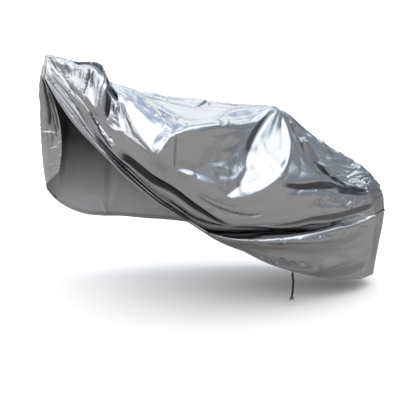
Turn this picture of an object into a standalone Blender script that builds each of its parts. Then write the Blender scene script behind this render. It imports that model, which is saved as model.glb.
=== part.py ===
"""Fitted bicycle cover in silver film cloth, as it hangs over turned bars and a saddle.

The bicycle is left out and the cover is hollow.  X runs from the front of the cover to
its rear, Y away from the near side, and Z up.  The tables below give heights above the
ground; at the end everything is moved so that the origin is the saddle's contact point
under the top, which is what holds the cover up.
"""
import bpy
import bmesh
import numpy as np
from collections import namedtuple
from mathutils import Vector

# ---------------------------------------------------------------- driving dimensions
HANG_POINT = (0.345, -0.135, 0.860)   # under the top, where the saddle carries it
FILM_THICK = 0.0012
TOUCH_GAP = 0.0003                    # between pieces that touch
CELLS_ALONG = 50                      # from the front edge of a side panel to its rear
LEVEL_CELLS = (5, 2, 3, 4, 4, 4, 3)   # between the named lines, from the hem upwards
FRONT_CELLS = sum(LEVEL_CELLS)         # up the front end, and down the rear end
CROWN_CELLS = 7                       # across the centre gusset
FRONT_INSET = 0.0018                  # the near panel's short front edge, off the gusset
SEAM_EASE = 1.3                       # spare room at a turned seam, for the film's facets
FOLD_STEPS = 20                       # points along a fold's line when it is measured

STRAP_WIDTH = 0.010
STRAP_THICK = 0.0014
STRAP_LENGTH = 0.118
STRAP_CELL = 40                       # the cell of the near hem that carries it
STRAP_STEPS = 14
STRAP_SWAY = 0.004                    # how far it hangs out of the straight
TAB_WIDTH = 0.016
TAB_THICK = 0.0010
TAB_RISE = 0.022                      # how far it is sewn up the panel
TAB_DROP = 0.006                      # how far it hangs below the hem
TAB_SEAT = 0.0004                     # stands off the slightly twisted film by this
CLIP_THICK = 0.0035
# Half of the clip's outline from its middle: (across, down) from the strap's end.
CLIP_HALF_OUTLINE = (
    (0.0000, 0.0000), (0.0070, 0.0000), (0.0078, 0.0010), (0.0078, 0.0070),
    (0.0090, 0.0105), (0.0090, 0.0135), (0.0068, 0.0190), (0.0052, 0.0190),
    (0.0052, 0.0090), (0.0014, 0.0090), (0.0014, 0.0160), (0.0000, 0.0170),
)

# ---------------------------------------------------------------- sections of the sheet
# A section runs up the near side from the hem to the seam.  at: 0 is the front edge and
# 1 the rear seam.  bulge: how far the section bows rearward at mid height.  The other
# cells are (y, z) where the section crosses each lengthwise line.
LEVELS = ("hem", "lip", "gully", "low", "belly", "flank", "shoulder", "seam")
Section = namedtuple("Section", ("at", "hem_x", "seam_x", "bulge") + LEVELS)
NEAR_SECTIONS = (
    Section(0.00, -.614, -.601, 0, (.050, .992), (.056, 1.005), (.061, 1.018),
            (.067, 1.031), (.073, 1.045), (.079, 1.058), (.084, 1.071), (.090, 1.084)),
    Section(0.08, -.566, -.484, 0, (.000, .905), (.000, .930), (.010, .950),
            (.005, .965), (.005, .990), (.005, 1.015), (.000, 1.048), (.020, 1.064)),
    Section(0.15, -.491, -.385, 0, (-.080, .803), (-.090, .840), (-.080, .866),
            (-.100, .892), (-.110, .930), (-.120, .983), (-.115, 1.041), (-.060, 1.066)),
    Section(0.22, -.396, -.345, 0, (-.160, .711), (-.170, .735), (-.155, .756),
            (-.180, .784), (-.185, .843), (-.180, .900), (-.165, .964), (-.060, .991)),
    Section(0.30, -.309, -.279, 0, (-.220, .628), (-.235, .654), (-.215, .674),
            (-.250, .701), (-.265, .767), (-.250, .831), (-.190, .930), (-.060, .964)),
    Section(0.37, -.190, -.189, 0, (-.270, .525), (-.285, .551), (-.265, .568),
            (-.310, .602), (-.345, .681), (-.400, .765), (-.270, .878), (-.090, .925)),
    Section(0.45, -.096, -.125, 0, (-.290, .465), (-.305, .486), (-.280, .500),
            (-.340, .540), (-.385, .642), (-.405, .739), (-.380, .833), (-.210, .901)),
    Section(0.52, .008, -.033, 0, (-.300, .393), (-.320, .409), (-.280, .425),
            (-.360, .471), (-.400, .592), (-.400, .718), (-.395, .845), (-.300, .871)),
    Section(0.60, .102, .071, 0, (-.300, .330), (-.340, .370), (-.270, .395),
            (-.380, .439), (-.410, .570), (-.385, .718), (-.370, .845), (-.290, .874)),
    Section(0.68, .208, .194, 0, (-.290, .275), (-.350, .357), (-.265, .385),
            (-.390, .433), (-.415, .571), (-.345, .737), (-.300, .844), (-.180, .885)),
    Section(0.75, .328, .360, 0, (-.270, .206), (-.350, .351), (-.265, .378),
            (-.385, .426), (-.410, .611), (-.320, .734), (-.200, .851), (-.130, .868)),
    Section(0.83, .457, .492, 0, (-.260, .157), (-.335, .348), (-.255, .374),
            (-.360, .429), (-.360, .604), (-.260, .649), (-.190, .704), (-.130, .738)),
    Section(0.90, .580, .580, .005, (-.230, .114), (-.290, .345), (-.225, .368),
            (-.305, .417), (-.290, .543), (-.215, .567), (-.178, .594), (-.155, .620)),
    Section(0.95, .673, .678, .025, (-.200, .092), (-.230, .338), (-.185, .360),
            (-.240, .413), (-.225, .497), (-.180, .514), (-.160, .531), (-.140, .548)),
    Section(1.00, .770, .782, .053, (-.160, .070), (-.150, .344), (-.140, .370),
            (-.145, .413), (-.138, .453), (-.130, .480), (-.125, .497), (-.120, .515)),
)

# The gusset goes down the front end, along the top and down the rear end.  Its ends
# are given at the same levels as the side panels' edges, from the seam (level 7) at the
# top to the hem (level 0).  near, ridge and far are (x, y, z) across the strip.
End = namedtuple("End", "level near ridge far")
FRONT_END = (
    End(0, (-.573, .020, .580), (-.625, .130, .505), (-.636, .225, .445)),
    End(1, (-.558, .015, .665), (-.628, .135, .605), (-.645, .235, .550)),
    End(2, (-.555, .015, .740), (-.628, .135, .690), (-.648, .235, .640)),
    End(3, (-.561, .018, .815), (-.628, .130, .768), (-.648, .225, .720)),
    End(4, (-.577, .028, .885), (-.632, .122, .848), (-.645, .210, .810)),
    End(5, (-.597, .040, .945), (-.632, .112, .920), (-.638, .180, .890)),
    End(6, (-.614, .050, .992), (-.630, .105, .984), (-.622, .155, .970)),
    End(7, (-.601, .090, 1.084), (-.606, .108, 1.083), (-.602, .126, 1.076)),
)
REAR_END = (
    End(7, None, (.804, -.045, .556), (.800, .035, .535)),
    End(6, None, (.838, -.045, .528), (.815, .040, .512)),
    End(5, None, (.864, -.043, .496), (.825, .045, .487)),
    End(4, None, (.884, -.040, .455), (.833, .050, .452)),
    End(3, None, (.897, -.040, .410), (.840, .053, .408)),
    End(2, None, (.901, -.040, .365), (.843, .055, .364)),
    End(1, None, (.900, -.040, .335), (.843, .056, .335)),
    End(0, None, (.866, -.048, .052), (.800, .060, .056)),
)

# Along the top the gusset's near edge is the near panel's seam.  side, skirt and hem are
# the far panel, from its seam down.
Top = namedtuple("Top", "at ridge far_seam side skirt hem")
TOP_SECTIONS = (
    Top(0.08, (-.487, .055, 1.058), (-.492, .085, 1.035), (-.575, .235, .72),
        (-.585, .275, .48), (-.570, .280, .350)),
    Top(0.15, (-.390, .000, 1.050), (-.400, .055, 1.000), (-.470, .200, .68),
        (-.480, .265, .43), (-.470, .280, .300)),
    Top(0.22, (-.346, -.010, .985), (-.348, .045, .955), (-.385, .185, .66),
        (-.390, .260, .41), (-.385, .280, .285)),
    Top(0.30, (-.276, -.005, .957), (-.275, .050, .935), (-.290, .180, .64),
        (-.290, .260, .39), (-.290, .280, .275)),
    Top(0.37, (-.200, -.020, .932), (-.195, .050, .915), (-.195, .175, .62),
        (-.190, .255, .38), (-.190, .280, .262)),
    Top(0.45, (-.092, -.055, .916), (-.095, .045, .898), (-.095, .170, .60),
        (-.090, .250, .37), (-.085, .280, .250)),
    Top(0.52, (.030, -.075, .904), (.005, .035, .885), (.010, .160, .58),
        (.015, .250, .35), (.015, .278, .235)),
    Top(0.60, (.125, -.085, .889), (.110, .020, .872), (.115, .150, .56),
        (.115, .240, .33), (.115, .270, .215)),
    Top(0.68, (.225, -.090, .877), (.215, -.010, .865), (.225, .135, .55),
        (.230, .230, .31), (.230, .262, .190)),
    Top(0.75, (.362, -.095, .865), (.360, -.035, .852), (.350, .120, .53),
        (.350, .215, .28), (.350, .250, .165)),
    Top(0.83, (.530, -.075, .740), (.530, .000, .725), (.490, .115, .47),
        (.480, .190, .24), (.480, .225, .130)),
    Top(0.90, (.670, -.060, .645), (.665, .015, .630), (.610, .105, .42),
        (.600, .160, .20), (.600, .190, .100)),
    Top(0.95, (.748, -.050, .596), (.745, .025, .578), (.715, .090, .38),
        (.710, .120, .18), (.705, .135, .075)),
)
FAR_LEVELS = (7.0, 4.0, 1.5, 0.0)     # where seam, side, skirt and hem lie on a section

# ---------------------------------------------------------------- folds
# A fold's line runs through three (at, level) places.  Depth is out of the sheet when
# positive and into it when negative.
Fold = namedtuple("Fold", "name start middle end half_width depth")
NEAR_FOLDS = (
    Fold("long pull from the lever", (.18, 3.7), (.37, 3.35), (.57, 3.0), .024, -.026),
    Fold("pull from the far bar end", (.03, 5.0), (.10, 3.9), (.19, 3.9), .020, -.014),
    Fold("pull beside the lever", (.11, 6.3), (.16, 4.8), (.24, 4.1), .022, -.014),
    Fold("hollow behind the lever", (.215, 6.7), (.235, 6.0), (.24, 5.0), .030, -.020),
    Fold("saddle valley", (.735, 6.3), (.672, 5.1), (.615, 4.3), .036, -.024),
    Fold("saddle crest", (.755, 6.4), (.775, 5.0), (.745, 4.2), .050, .018),
    Fold("saddle left crest", (.715, 5.6), (.690, 4.9), (.655, 4.3), .030, .010),
    Fold("rear slope pull", (.785, 6.5), (.850, 5.7), (.960, 5.5), .032, -.026),
    Fold("hollow under the hip", (.780, 3.7), (.855, 3.75), (.930, 3.8), .026, -.018),
    Fold("hollow at the rear seam", (.930, 3.7), (.960, 3.75), (.990, 3.8), .024, -.012),
    Fold("belly pull", (.50, 3.75), (.60, 3.55), (.70, 3.45), .022, -.012),
    Fold("skirt pull", (.66, 0.55), (.82, 0.62), (.97, 0.75), .030, .008),
)
FAR_FOLDS = (
    Fold("front drape", (.10, 6.3), (.12, 4.0), (.10, 1.0), .050, -.022),
    Fold("bar drape", (.24, 6.2), (.27, 4.0), (.25, 0.8), .045, .016),
    Fold("middle drape", (.40, 6.2), (.44, 4.0), (.43, 0.8), .055, -.020),
    Fold("saddle drape", (.73, 6.0), (.66, 4.0), (.62, 1.2), .050, .020),
    Fold("rear drape", (.76, 6.0), (.82, 4.0), (.86, 1.5), .050, -.018),
)
CROWN_FOLDS = (
    Fold("dip before the saddle", (.52, .30), (.60, .45), (.68, .40), .060, -.012),
    Fold("rear slope dip", (.80, .50), (.85, .50), (.90, .45), .040, -.008),
)


# ---------------------------------------------------------------- curves through rows
def through_rows(places, values, where):
    """Smooth curve through rows of values at rising places, read at `where`."""
    places = np.asarray(places, float)
    values = np.asarray(values, float)
    shape = (-1,) + (1,) * (values.ndim - 1)
    steps = np.diff(places)
    chords = np.diff(values, axis=0) / steps.reshape(shape)
    left = steps[:-1].reshape(shape)
    right = steps[1:].reshape(shape)
    inner = (chords[:-1] * right + chords[1:] * left) / (left + right)
    slopes = np.concatenate([chords[:1], inner, chords[-1:]])
    cell = np.clip(np.searchsorted(places, where, side="right") - 1, 0, len(steps) - 1)
    step = steps[cell]
    t = ((where - places[cell]) / step).reshape(shape)
    step = step.reshape(shape)
    start = values[cell] * (2 * t**3 - 3 * t**2 + 1) + slopes[cell] * step * (t**3 - 2 * t**2 + t)
    end = values[cell + 1] * (3 * t**2 - 2 * t**3) + slopes[cell + 1] * step * (t**3 - t**2)
    return start + end


def section_points(row):
    """The eight (x, y, z) points of one near-side section."""
    pairs = np.array([getattr(row, level) for level in LEVELS])
    rise = (pairs[:, 1] - row.hem[1]) / (row.seam[1] - row.hem[1])
    across = row.hem_x + (row.seam_x - row.hem_x) * rise + row.bulge * np.sin(np.pi * rise)
    return np.column_stack([across, pairs])


def level_samples():
    """Levels of the sheet's rows of vertices, from the hem to the seam."""
    samples = [0.0]
    for level, count in enumerate(LEVEL_CELLS):
        samples += [level + (step + 1) / count for step in range(count)]
    return np.array(samples)


def near_surface(at, levels):
    """Smooth near side at every (at, level)."""
    rows = np.array([section_points(row) for row in NEAR_SECTIONS])
    lines = through_rows([row.at for row in NEAR_SECTIONS], rows, at)
    return through_rows(range(len(LEVELS)), lines.swapaxes(0, 1), levels).swapaxes(0, 1)


def end_line(rows, name, levels):
    """One edge of the gusset's front or rear end, read at levels."""
    rows = sorted(rows, key=lambda row: row.level)
    return through_rows([row.level for row in rows], [getattr(row, name) for row in rows], levels)


def top_line(name, at, first, last):
    """A lengthwise line of the top, between its points on the front and rear ends."""
    places = [0.0] + [row.at for row in TOP_SECTIONS] + [1.0]
    points = [first] + [getattr(row, name) for row in TOP_SECTIONS] + [last]
    return through_rows(places, points, at)


def far_surface(at, levels):
    """Smooth far side: sections between the front edge and the rear edge."""
    rows = [end_line(FRONT_END, "far", levels)]
    for row in TOP_SECTIONS:
        drop = [row.hem, row.skirt, row.side, row.far_seam]
        rows.append(through_rows(FAR_LEVELS[::-1], drop, levels))
    rows.append(end_line(REAR_END, "far", levels))
    places = [0.0] + [row.at for row in TOP_SECTIONS] + [1.0]
    return through_rows(places, np.array(rows), at)


def crown_surface(at, levels, across):
    """Smooth gusset, from the front hem over the top to the rear hem."""
    front = [end_line(FRONT_END, name, levels) for name in ("near", "ridge", "far")]
    rear = [near_surface(np.array([1.0]), levels)[0]]
    rear += [end_line(REAR_END, name, levels) for name in ("ridge", "far")]
    seam = near_surface(at, np.array([7.0]))[:, 0]
    ridge = top_line("ridge", at, front[1][-1], rear[1][-1])
    far = top_line("far_seam", at, front[2][-1], rear[2][-1])
    lines = []
    for start, middle, end in zip(front, (seam, ridge, far), rear):
        lines.append(np.concatenate([start[:-1], middle, end[::-1][1:]]))
    return through_rows((0.0, 0.5, 1.0), np.array(lines), across).swapaxes(0, 1)


# ---------------------------------------------------------------- folds on a surface
def outward(points):
    """Unit normals of a grid of points."""
    normals = np.cross(np.gradient(points, axis=0), np.gradient(points, axis=1))
    return normals / np.maximum(np.linalg.norm(normals, axis=2, keepdims=True), 1e-9)


def nearest_on_line(points, line):
    """Distance from each point to a polyline, and how far along it that is, 0 to 1."""
    best = np.full(points.shape[:2], 1e9)
    place = np.zeros(points.shape[:2])
    count = len(line) - 1
    for index in range(count):
        run = line[index + 1] - line[index]
        offset = points - line[index]
        share = np.clip(offset @ run / max(run @ run, 1e-12), 0, 1)
        gap = np.linalg.norm(offset - share[..., None] * run, axis=2)
        closer = gap < best
        best[closer] = gap[closer]
        place[closer] = (index + share[closer]) / count
    return best, place


def fold_relief(points, folds, locate):
    """How far the folds lift each point of the sheet out along its normal."""
    relief = np.zeros(points.shape[:2])
    for fold in folds:
        t = np.linspace(0, 1, FOLD_STEPS + 1)[:, None]
        bend = 2 * np.array(fold.middle) - (np.array(fold.start) + np.array(fold.end)) / 2
        places = (1 - t)**2 * fold.start + 2 * t * (1 - t) * bend + t**2 * fold.end
        line = np.array([locate(*place) for place in places])
        gap, along = nearest_on_line(points, line)
        profile = np.cos(np.clip(gap / fold.half_width, 0, 1) * np.pi / 2)**2
        relief += fold.depth * profile * np.sin(np.pi * np.clip(along, .03, .97))**0.6
    return relief


def fade(distance, reach):
    """0 at an edge, rising smoothly to 1 at `reach` from it."""
    share = np.clip(distance / reach, 0, 1)
    return share * share * (3 - 2 * share)


def near_grid():
    at = np.linspace(0, 1, CELLS_ALONG + 1)
    levels = level_samples()
    points = near_surface(at, levels)

    def locate(place, level):
        return near_surface(np.array([place]), np.array([level]))[0, 0]

    relief = fold_relief(points, NEAR_FOLDS, locate)
    seam = fade(7.0 - levels, 0.8)[None, :] * fade(1.0 - at, 0.04)[:, None]
    return points + outward(points) * (relief * seam * fade(at, 0.03)[:, None])[..., None]


def far_grid():
    at = np.linspace(0, 1, CELLS_ALONG + 1)
    levels = level_samples()
    points = far_surface(at, levels)

    def locate(place, level):
        return far_surface(np.array([place]), np.array([level]))[0, 0]

    relief = fold_relief(points, FAR_FOLDS, locate)
    edges = fade(7.0 - levels, 1.2)[None, :] * (fade(1.0 - at, 0.1) * fade(at, 0.1))[:, None]
    return points - outward(points) * (relief * edges)[..., None]


def crown_grid():
    at = np.linspace(0, 1, CELLS_ALONG + 1)
    levels = level_samples()
    across = np.linspace(0, 1, CROWN_CELLS + 1)
    points = crown_surface(at, levels, across)

    def locate(place, side):
        return crown_surface(np.array([place]), levels, np.array([side]))[len(levels) - 1, 0]

    relief = fold_relief(points, CROWN_FOLDS, locate)
    edges = fade(across, 0.4) * fade(1 - across, 0.4)
    return points + outward(points) * (relief * edges[None, :])[..., None]


# ---------------------------------------------------------------- Blender objects
def clear_scene():
    for thing in list(bpy.data.objects):
        bpy.data.objects.remove(thing, do_unlink=True)


def plain_material(name, colour, roughness, metallic):
    material = bpy.data.materials.new(name)
    material.use_nodes = True
    shader = material.node_tree.nodes["Principled BSDF"]
    shader.inputs["Base Color"].default_value = (*colour, 1)
    shader.inputs["Roughness"].default_value = roughness
    shader.inputs["Metallic"].default_value = metallic
    return material


def to_frame(point):
    """Ground sizes to the part's frame, whose origin is the hang point."""
    return Vector(point) - Vector(HANG_POINT)


def inward(points, edge):
    """The grid seen from one of its edges, as rows going in, and as a view on it."""
    return {"first": points, "last": points[::-1],
            "left": points.swapaxes(0, 1), "right": points.swapaxes(0, 1)[::-1]}[edge]


def unit(vectors):
    return vectors / np.linalg.norm(vectors, axis=-1, keepdims=True)


def square_in(rows):
    """Unit directions into a panel, square to the seam along its first row."""
    seam = unit(np.gradient(rows[0], axis=0))
    into = rows[1] - rows[0]
    return unit(into - seam * np.sum(into * seam, axis=1, keepdims=True))


def part_seam(first, second):
    """Pull two panels back from the seam line that they share.

    Each is given as rows going in from the seam.  A seam that turns sharply needs more
    room, because the film's inner faces meet first."""
    into_first = square_in(first)
    into_second = square_in(second)
    cosine = np.sum(into_first * into_second, axis=1, keepdims=True)
    half_angle = np.arccos(np.clip(cosine, -1, 1)) / 2
    inset = TOUCH_GAP / 2 + SEAM_EASE * FILM_THICK / 2 / np.tan(half_angle)
    first[0] += into_first * inset
    second[0] += into_second * inset


def sheet_object(name, points, thickness, collection, material):
    """A grid of points as a sheet of the given thickness."""
    mesh = bmesh.new()
    rows = [[mesh.verts.new(to_frame(point)) for point in row] for row in points]
    for lower, upper in zip(rows, rows[1:]):
        for a, b, c, d in zip(lower, lower[1:], upper[1:], upper):
            mesh.faces.new((a, b, c, d))
    data = bpy.data.meshes.new(name)
    mesh.to_mesh(data)
    mesh.free()
    data.materials.append(material)
    thing = bpy.data.objects.new(name, data)
    collection.objects.link(thing)
    shell = thing.modifiers.new("thickness", "SOLIDIFY")
    shell.thickness = thickness
    shell.offset = 0.0
    return thing


def cover_panels(collection, film):
    near = near_grid()
    far = far_grid()
    crown = crown_grid()
    top = slice(FRONT_CELLS, FRONT_CELLS + CELLS_ALONG + 1)
    rear = slice(FRONT_CELLS + CELLS_ALONG, None)
    left = inward(crown, "left")
    right = inward(crown, "right")
    part_seam(inward(near, "right"), left[:, top])
    part_seam(inward(far, "right"), right[:, top])
    part_seam(inward(near, "last")[:, ::-1], left[:, rear])
    part_seam(inward(far, "last")[:, ::-1], right[:, rear])
    part_seam(inward(far, "first"), right[:, :FRONT_CELLS + 1])
    near[0] += unit(near[1] - near[0]) * FRONT_INSET
    sheet_object("near_side_panel", near, FILM_THICK, collection, film)
    sheet_object("far_side_panel", far, FILM_THICK, collection, film)
    sheet_object("centre_gusset", crown, FILM_THICK, collection, film)
    return near


# ---------------------------------------------------------------- strap on the hem
def hem_patch(near):
    """Middle of the strap's cell on the hem: its foot, and its ways up and out."""
    left, right = near[STRAP_CELL, :2], near[STRAP_CELL + 1, :2]
    foot = (left[0] + right[0]) / 2
    rise = unit((left[1] + right[1]) / 2 - foot)
    side = unit(right[0] - left[0])
    out = unit(np.cross(side, rise))
    return foot, rise, np.cross(rise, out), out


def strap_tab(near, collection, material):
    """A short tab of tape, sewn on the outside of the hem, that the strap hangs from."""
    foot, rise, side, out = hem_patch(near)
    stand_off = (FILM_THICK + TAB_THICK) / 2 + TAB_SEAT
    rows = []
    for step in np.linspace(-TAB_DROP, TAB_RISE, 5):
        middle = foot + rise * step + out * stand_off
        rows.append([middle + side * across for across in (-TAB_WIDTH / 2, 0, TAB_WIDTH / 2)])
    sheet_object("strap_tab", np.array(rows), TAB_THICK, collection, material)
    return foot - rise * (TAB_DROP + TOUCH_GAP) + out * stand_off, rise, side, out


def hem_strap(start, rise, side, out, collection, material):
    """The strap, hanging from the tab to the clip.  Returns its lower end."""
    rows = []
    for share in np.linspace(0, 1, STRAP_STEPS + 1):
        turn = fade(share, 0.3)
        sway = side * STRAP_SWAY * np.sin(np.pi * share) - out * STRAP_SWAY * share
        down = -rise * (1 - turn) * share - np.array((0, 0, 1)) * turn * share
        middle = start + down * STRAP_LENGTH + sway
        rows.append([middle + side * across for across in (-STRAP_WIDTH / 2, STRAP_WIDTH / 2)])
    sheet_object("hem_strap", np.array(rows), STRAP_THICK, collection, material)
    return middle


def strap_clip(end, side, collection, material):
    """The loose half of a small side-release clip, as a flat moulded outline."""
    outline = [(x, -z) for x, z in CLIP_HALF_OUTLINE]
    outline += [(-x, z) for x, z in outline[-2:0:-1]]
    curve = bpy.data.curves.new("strap_clip", "CURVE")
    curve.dimensions = "2D"
    curve.fill_mode = "BOTH"
    curve.extrude = CLIP_THICK / 2
    spline = curve.splines.new("POLY")
    spline.points.add(len(outline) - 1)
    for point, (x, z) in zip(spline.points, outline):
        point.co = (x, z, 0, 1)
    spline.use_cyclic_u = True
    curve.materials.append(material)
    clip = bpy.data.objects.new("strap_clip", curve)
    clip.location = to_frame(end) - Vector((0, 0, STRAP_THICK / 2 + TOUCH_GAP))
    turn = np.arctan2(side[1], side[0])
    clip.rotation_euler = (np.pi / 2, 0, turn)
    collection.objects.link(clip)


def main():
    clear_scene()
    parts = bpy.data.collections.new("bicycle cover")
    bpy.context.scene.collection.children.link(parts)
    film = plain_material("silver film cloth", (.62, .62, .61), .35, .8)
    tape = plain_material("black strap tape", (.03, .03, .032), .8, 0)
    grey_tape = plain_material("grey tab tape", (.45, .45, .44), .6, .3)
    plastic = plain_material("black clip plastic", (.02, .02, .022), .4, 0)
    near = cover_panels(parts, film)
    start, rise, side, out = strap_tab(near, parts, grey_tape)
    end = hem_strap(start, rise, side, out, parts, tape)
    strap_clip(end, side, parts, plastic)


main()
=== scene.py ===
"""Looks of the silver bicycle cover: film cloth panels, sewn seams, hem strap and clip.

Places of the panels are in metres from a point on the ground; cloth_mesh moves them to the
part's frame, whose origin is the point under the top where the saddle carries the cover.
"""
import math
from collections import namedtuple

import bmesh
import bpy
import numpy as np
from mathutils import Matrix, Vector


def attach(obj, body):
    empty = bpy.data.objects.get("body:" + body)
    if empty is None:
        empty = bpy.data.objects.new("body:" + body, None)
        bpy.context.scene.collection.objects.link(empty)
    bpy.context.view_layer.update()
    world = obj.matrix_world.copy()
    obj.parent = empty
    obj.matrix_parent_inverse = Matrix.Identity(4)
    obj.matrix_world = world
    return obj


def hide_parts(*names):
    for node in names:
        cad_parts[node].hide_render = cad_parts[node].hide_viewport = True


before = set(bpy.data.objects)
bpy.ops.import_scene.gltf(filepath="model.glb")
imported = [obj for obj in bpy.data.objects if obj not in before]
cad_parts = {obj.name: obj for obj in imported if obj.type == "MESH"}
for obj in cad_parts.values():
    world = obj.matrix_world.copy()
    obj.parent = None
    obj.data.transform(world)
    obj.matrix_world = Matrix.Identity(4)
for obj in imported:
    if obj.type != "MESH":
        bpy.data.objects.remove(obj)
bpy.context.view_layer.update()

HANG_POINT = (0.345, -0.135, 0.860)
GROUND = -HANG_POINT[2]
TOP_LEVEL = 7.0

# ---------------------------------------------------------------- camera
CAMERA_TURN = math.radians(-8.0)
CAMERA_RISE = math.radians(17.5)
CAMERA_AWAY = 4.16
CAMERA_AIM = (-0.295, 0.135, -0.430)
CAMERA_LENS = 82.98
CAMERA_SENSOR = 36.0


def studio_camera():
    back = Vector((math.sin(CAMERA_TURN) * math.cos(CAMERA_RISE),
                   -math.cos(CAMERA_TURN) * math.cos(CAMERA_RISE), math.sin(CAMERA_RISE)))
    data = bpy.data.cameras.new("camera")
    data.sensor_width = CAMERA_SENSOR
    data.lens = CAMERA_LENS
    camera = bpy.data.objects.new("camera", data)
    camera.location = Vector(CAMERA_AIM) + back * CAMERA_AWAY
    camera.rotation_euler = back.to_track_quat("Z", "Y").to_euler()
    bpy.context.scene.collection.objects.link(camera)
    bpy.context.scene.camera = camera


# ---------------------------------------------------------------- sections of the sheet
# A section runs up the near side from the hem to the seam.  at: 0 is the front edge and
# 1 the rear seam.  hem_x and seam_x: its x at the hem and at the seam.  bulge: how far it
# bows out between them.  The rest is (y, z) where it crosses each lengthwise line.
LEVELS = ("hem", "lip", "gully", "low", "belly", "flank", "shoulder", "seam")
Section = namedtuple("Section", ("at", "hem_x", "seam_x", "bulge") + LEVELS)
NEAR_SECTIONS = (
    Section(0.00, -.614, -.601, 0, (.050, .992), (.056, 1.005), (.061, 1.018),
            (.067, 1.031), (.073, 1.045), (.079, 1.058), (.084, 1.071), (.090, 1.084)),
    Section(0.08, -.566, -.484, 0, (.000, .905), (.000, .930), (.010, .950),
            (.005, .965), (.005, .990), (.005, 1.015), (.000, 1.048), (.020, 1.064)),
    Section(0.15, -.491, -.385, 0, (-.080, .803), (-.090, .840), (-.080, .866),
            (-.100, .892), (-.110, .930), (-.120, .983), (-.115, 1.041), (-.060, 1.066)),
    Section(0.22, -.396, -.345, 0, (-.160, .711), (-.170, .735), (-.155, .756),
            (-.180, .784), (-.185, .843), (-.180, .900), (-.165, .964), (-.060, .991)),
    Section(0.30, -.309, -.279, 0, (-.220, .628), (-.235, .654), (-.215, .674),
            (-.250, .701), (-.265, .767), (-.250, .831), (-.190, .930), (-.060, .964)),
    Section(0.37, -.190, -.189, 0, (-.270, .525), (-.285, .551), (-.265, .568),
            (-.310, .602), (-.345, .681), (-.400, .765), (-.270, .878), (-.090, .925)),
    Section(0.45, -.096, -.125, 0, (-.290, .465), (-.305, .486), (-.280, .500),
            (-.340, .540), (-.385, .642), (-.405, .739), (-.380, .833), (-.210, .901)),
    Section(0.52, .008, -.033, 0, (-.300, .393), (-.320, .409), (-.280, .425),
            (-.360, .471), (-.400, .592), (-.400, .718), (-.395, .845), (-.300, .871)),
    Section(0.60, .102, .071, 0, (-.300, .330), (-.340, .370), (-.270, .395),
            (-.380, .439), (-.410, .570), (-.385, .718), (-.370, .845), (-.290, .874)),
    Section(0.68, .208, .194, 0, (-.290, .275), (-.350, .357), (-.265, .385),
            (-.390, .433), (-.415, .571), (-.345, .737), (-.300, .844), (-.180, .885)),
    Section(0.75, .328, .360, 0, (-.270, .206), (-.350, .351), (-.265, .378),
            (-.385, .426), (-.410, .611), (-.320, .734), (-.200, .851), (-.130, .868)),
    Section(0.83, .457, .492, 0, (-.260, .157), (-.335, .348), (-.255, .374),
            (-.360, .429), (-.360, .604), (-.260, .649), (-.190, .704), (-.130, .738)),
    Section(0.90, .580, .580, .005, (-.230, .114), (-.290, .345), (-.225, .368),
            (-.305, .417), (-.290, .543), (-.215, .567), (-.178, .594), (-.155, .620)),
    Section(0.95, .673, .678, .025, (-.200, .092), (-.230, .338), (-.185, .360),
            (-.240, .413), (-.225, .497), (-.180, .514), (-.160, .531), (-.140, .548)),
    Section(1.00, .770, .782, .053, (-.160, .070), (-.150, .344), (-.140, .370),
            (-.145, .413), (-.138, .453), (-.130, .480), (-.125, .497), (-.120, .515)),
)

# The gusset's two ends, at the side panels' levels: (x, y, z) across the strip.
End = namedtuple("End", "level near ridge far")
FRONT_END = (
    End(0, (-.573, .020, .580), (-.625, .130, .505), (-.636, .225, .445)),
    End(1, (-.558, .015, .665), (-.628, .135, .605), (-.645, .235, .550)),
    End(2, (-.555, .015, .740), (-.628, .135, .690), (-.648, .235, .640)),
    End(3, (-.561, .018, .815), (-.628, .130, .768), (-.648, .225, .720)),
    End(4, (-.577, .028, .885), (-.632, .122, .848), (-.645, .210, .810)),
    End(5, (-.597, .040, .945), (-.632, .112, .920), (-.638, .180, .890)),
    End(6, (-.614, .050, .992), (-.630, .105, .984), (-.622, .155, .970)),
    End(7, (-.601, .090, 1.084), (-.606, .108, 1.083), (-.602, .126, 1.076)),
)
REAR_END = (
    End(7, None, (.804, -.045, .556), (.800, .035, .535)),
    End(6, None, (.838, -.045, .528), (.815, .040, .512)),
    End(5, None, (.864, -.043, .496), (.825, .045, .487)),
    End(4, None, (.884, -.040, .455), (.833, .050, .452)),
    End(3, None, (.897, -.040, .410), (.840, .053, .408)),
    End(2, None, (.901, -.040, .365), (.843, .055, .364)),
    End(1, None, (.900, -.040, .335), (.843, .056, .335)),
    End(0, None, (.866, -.048, .052), (.800, .060, .056)),
)

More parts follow.
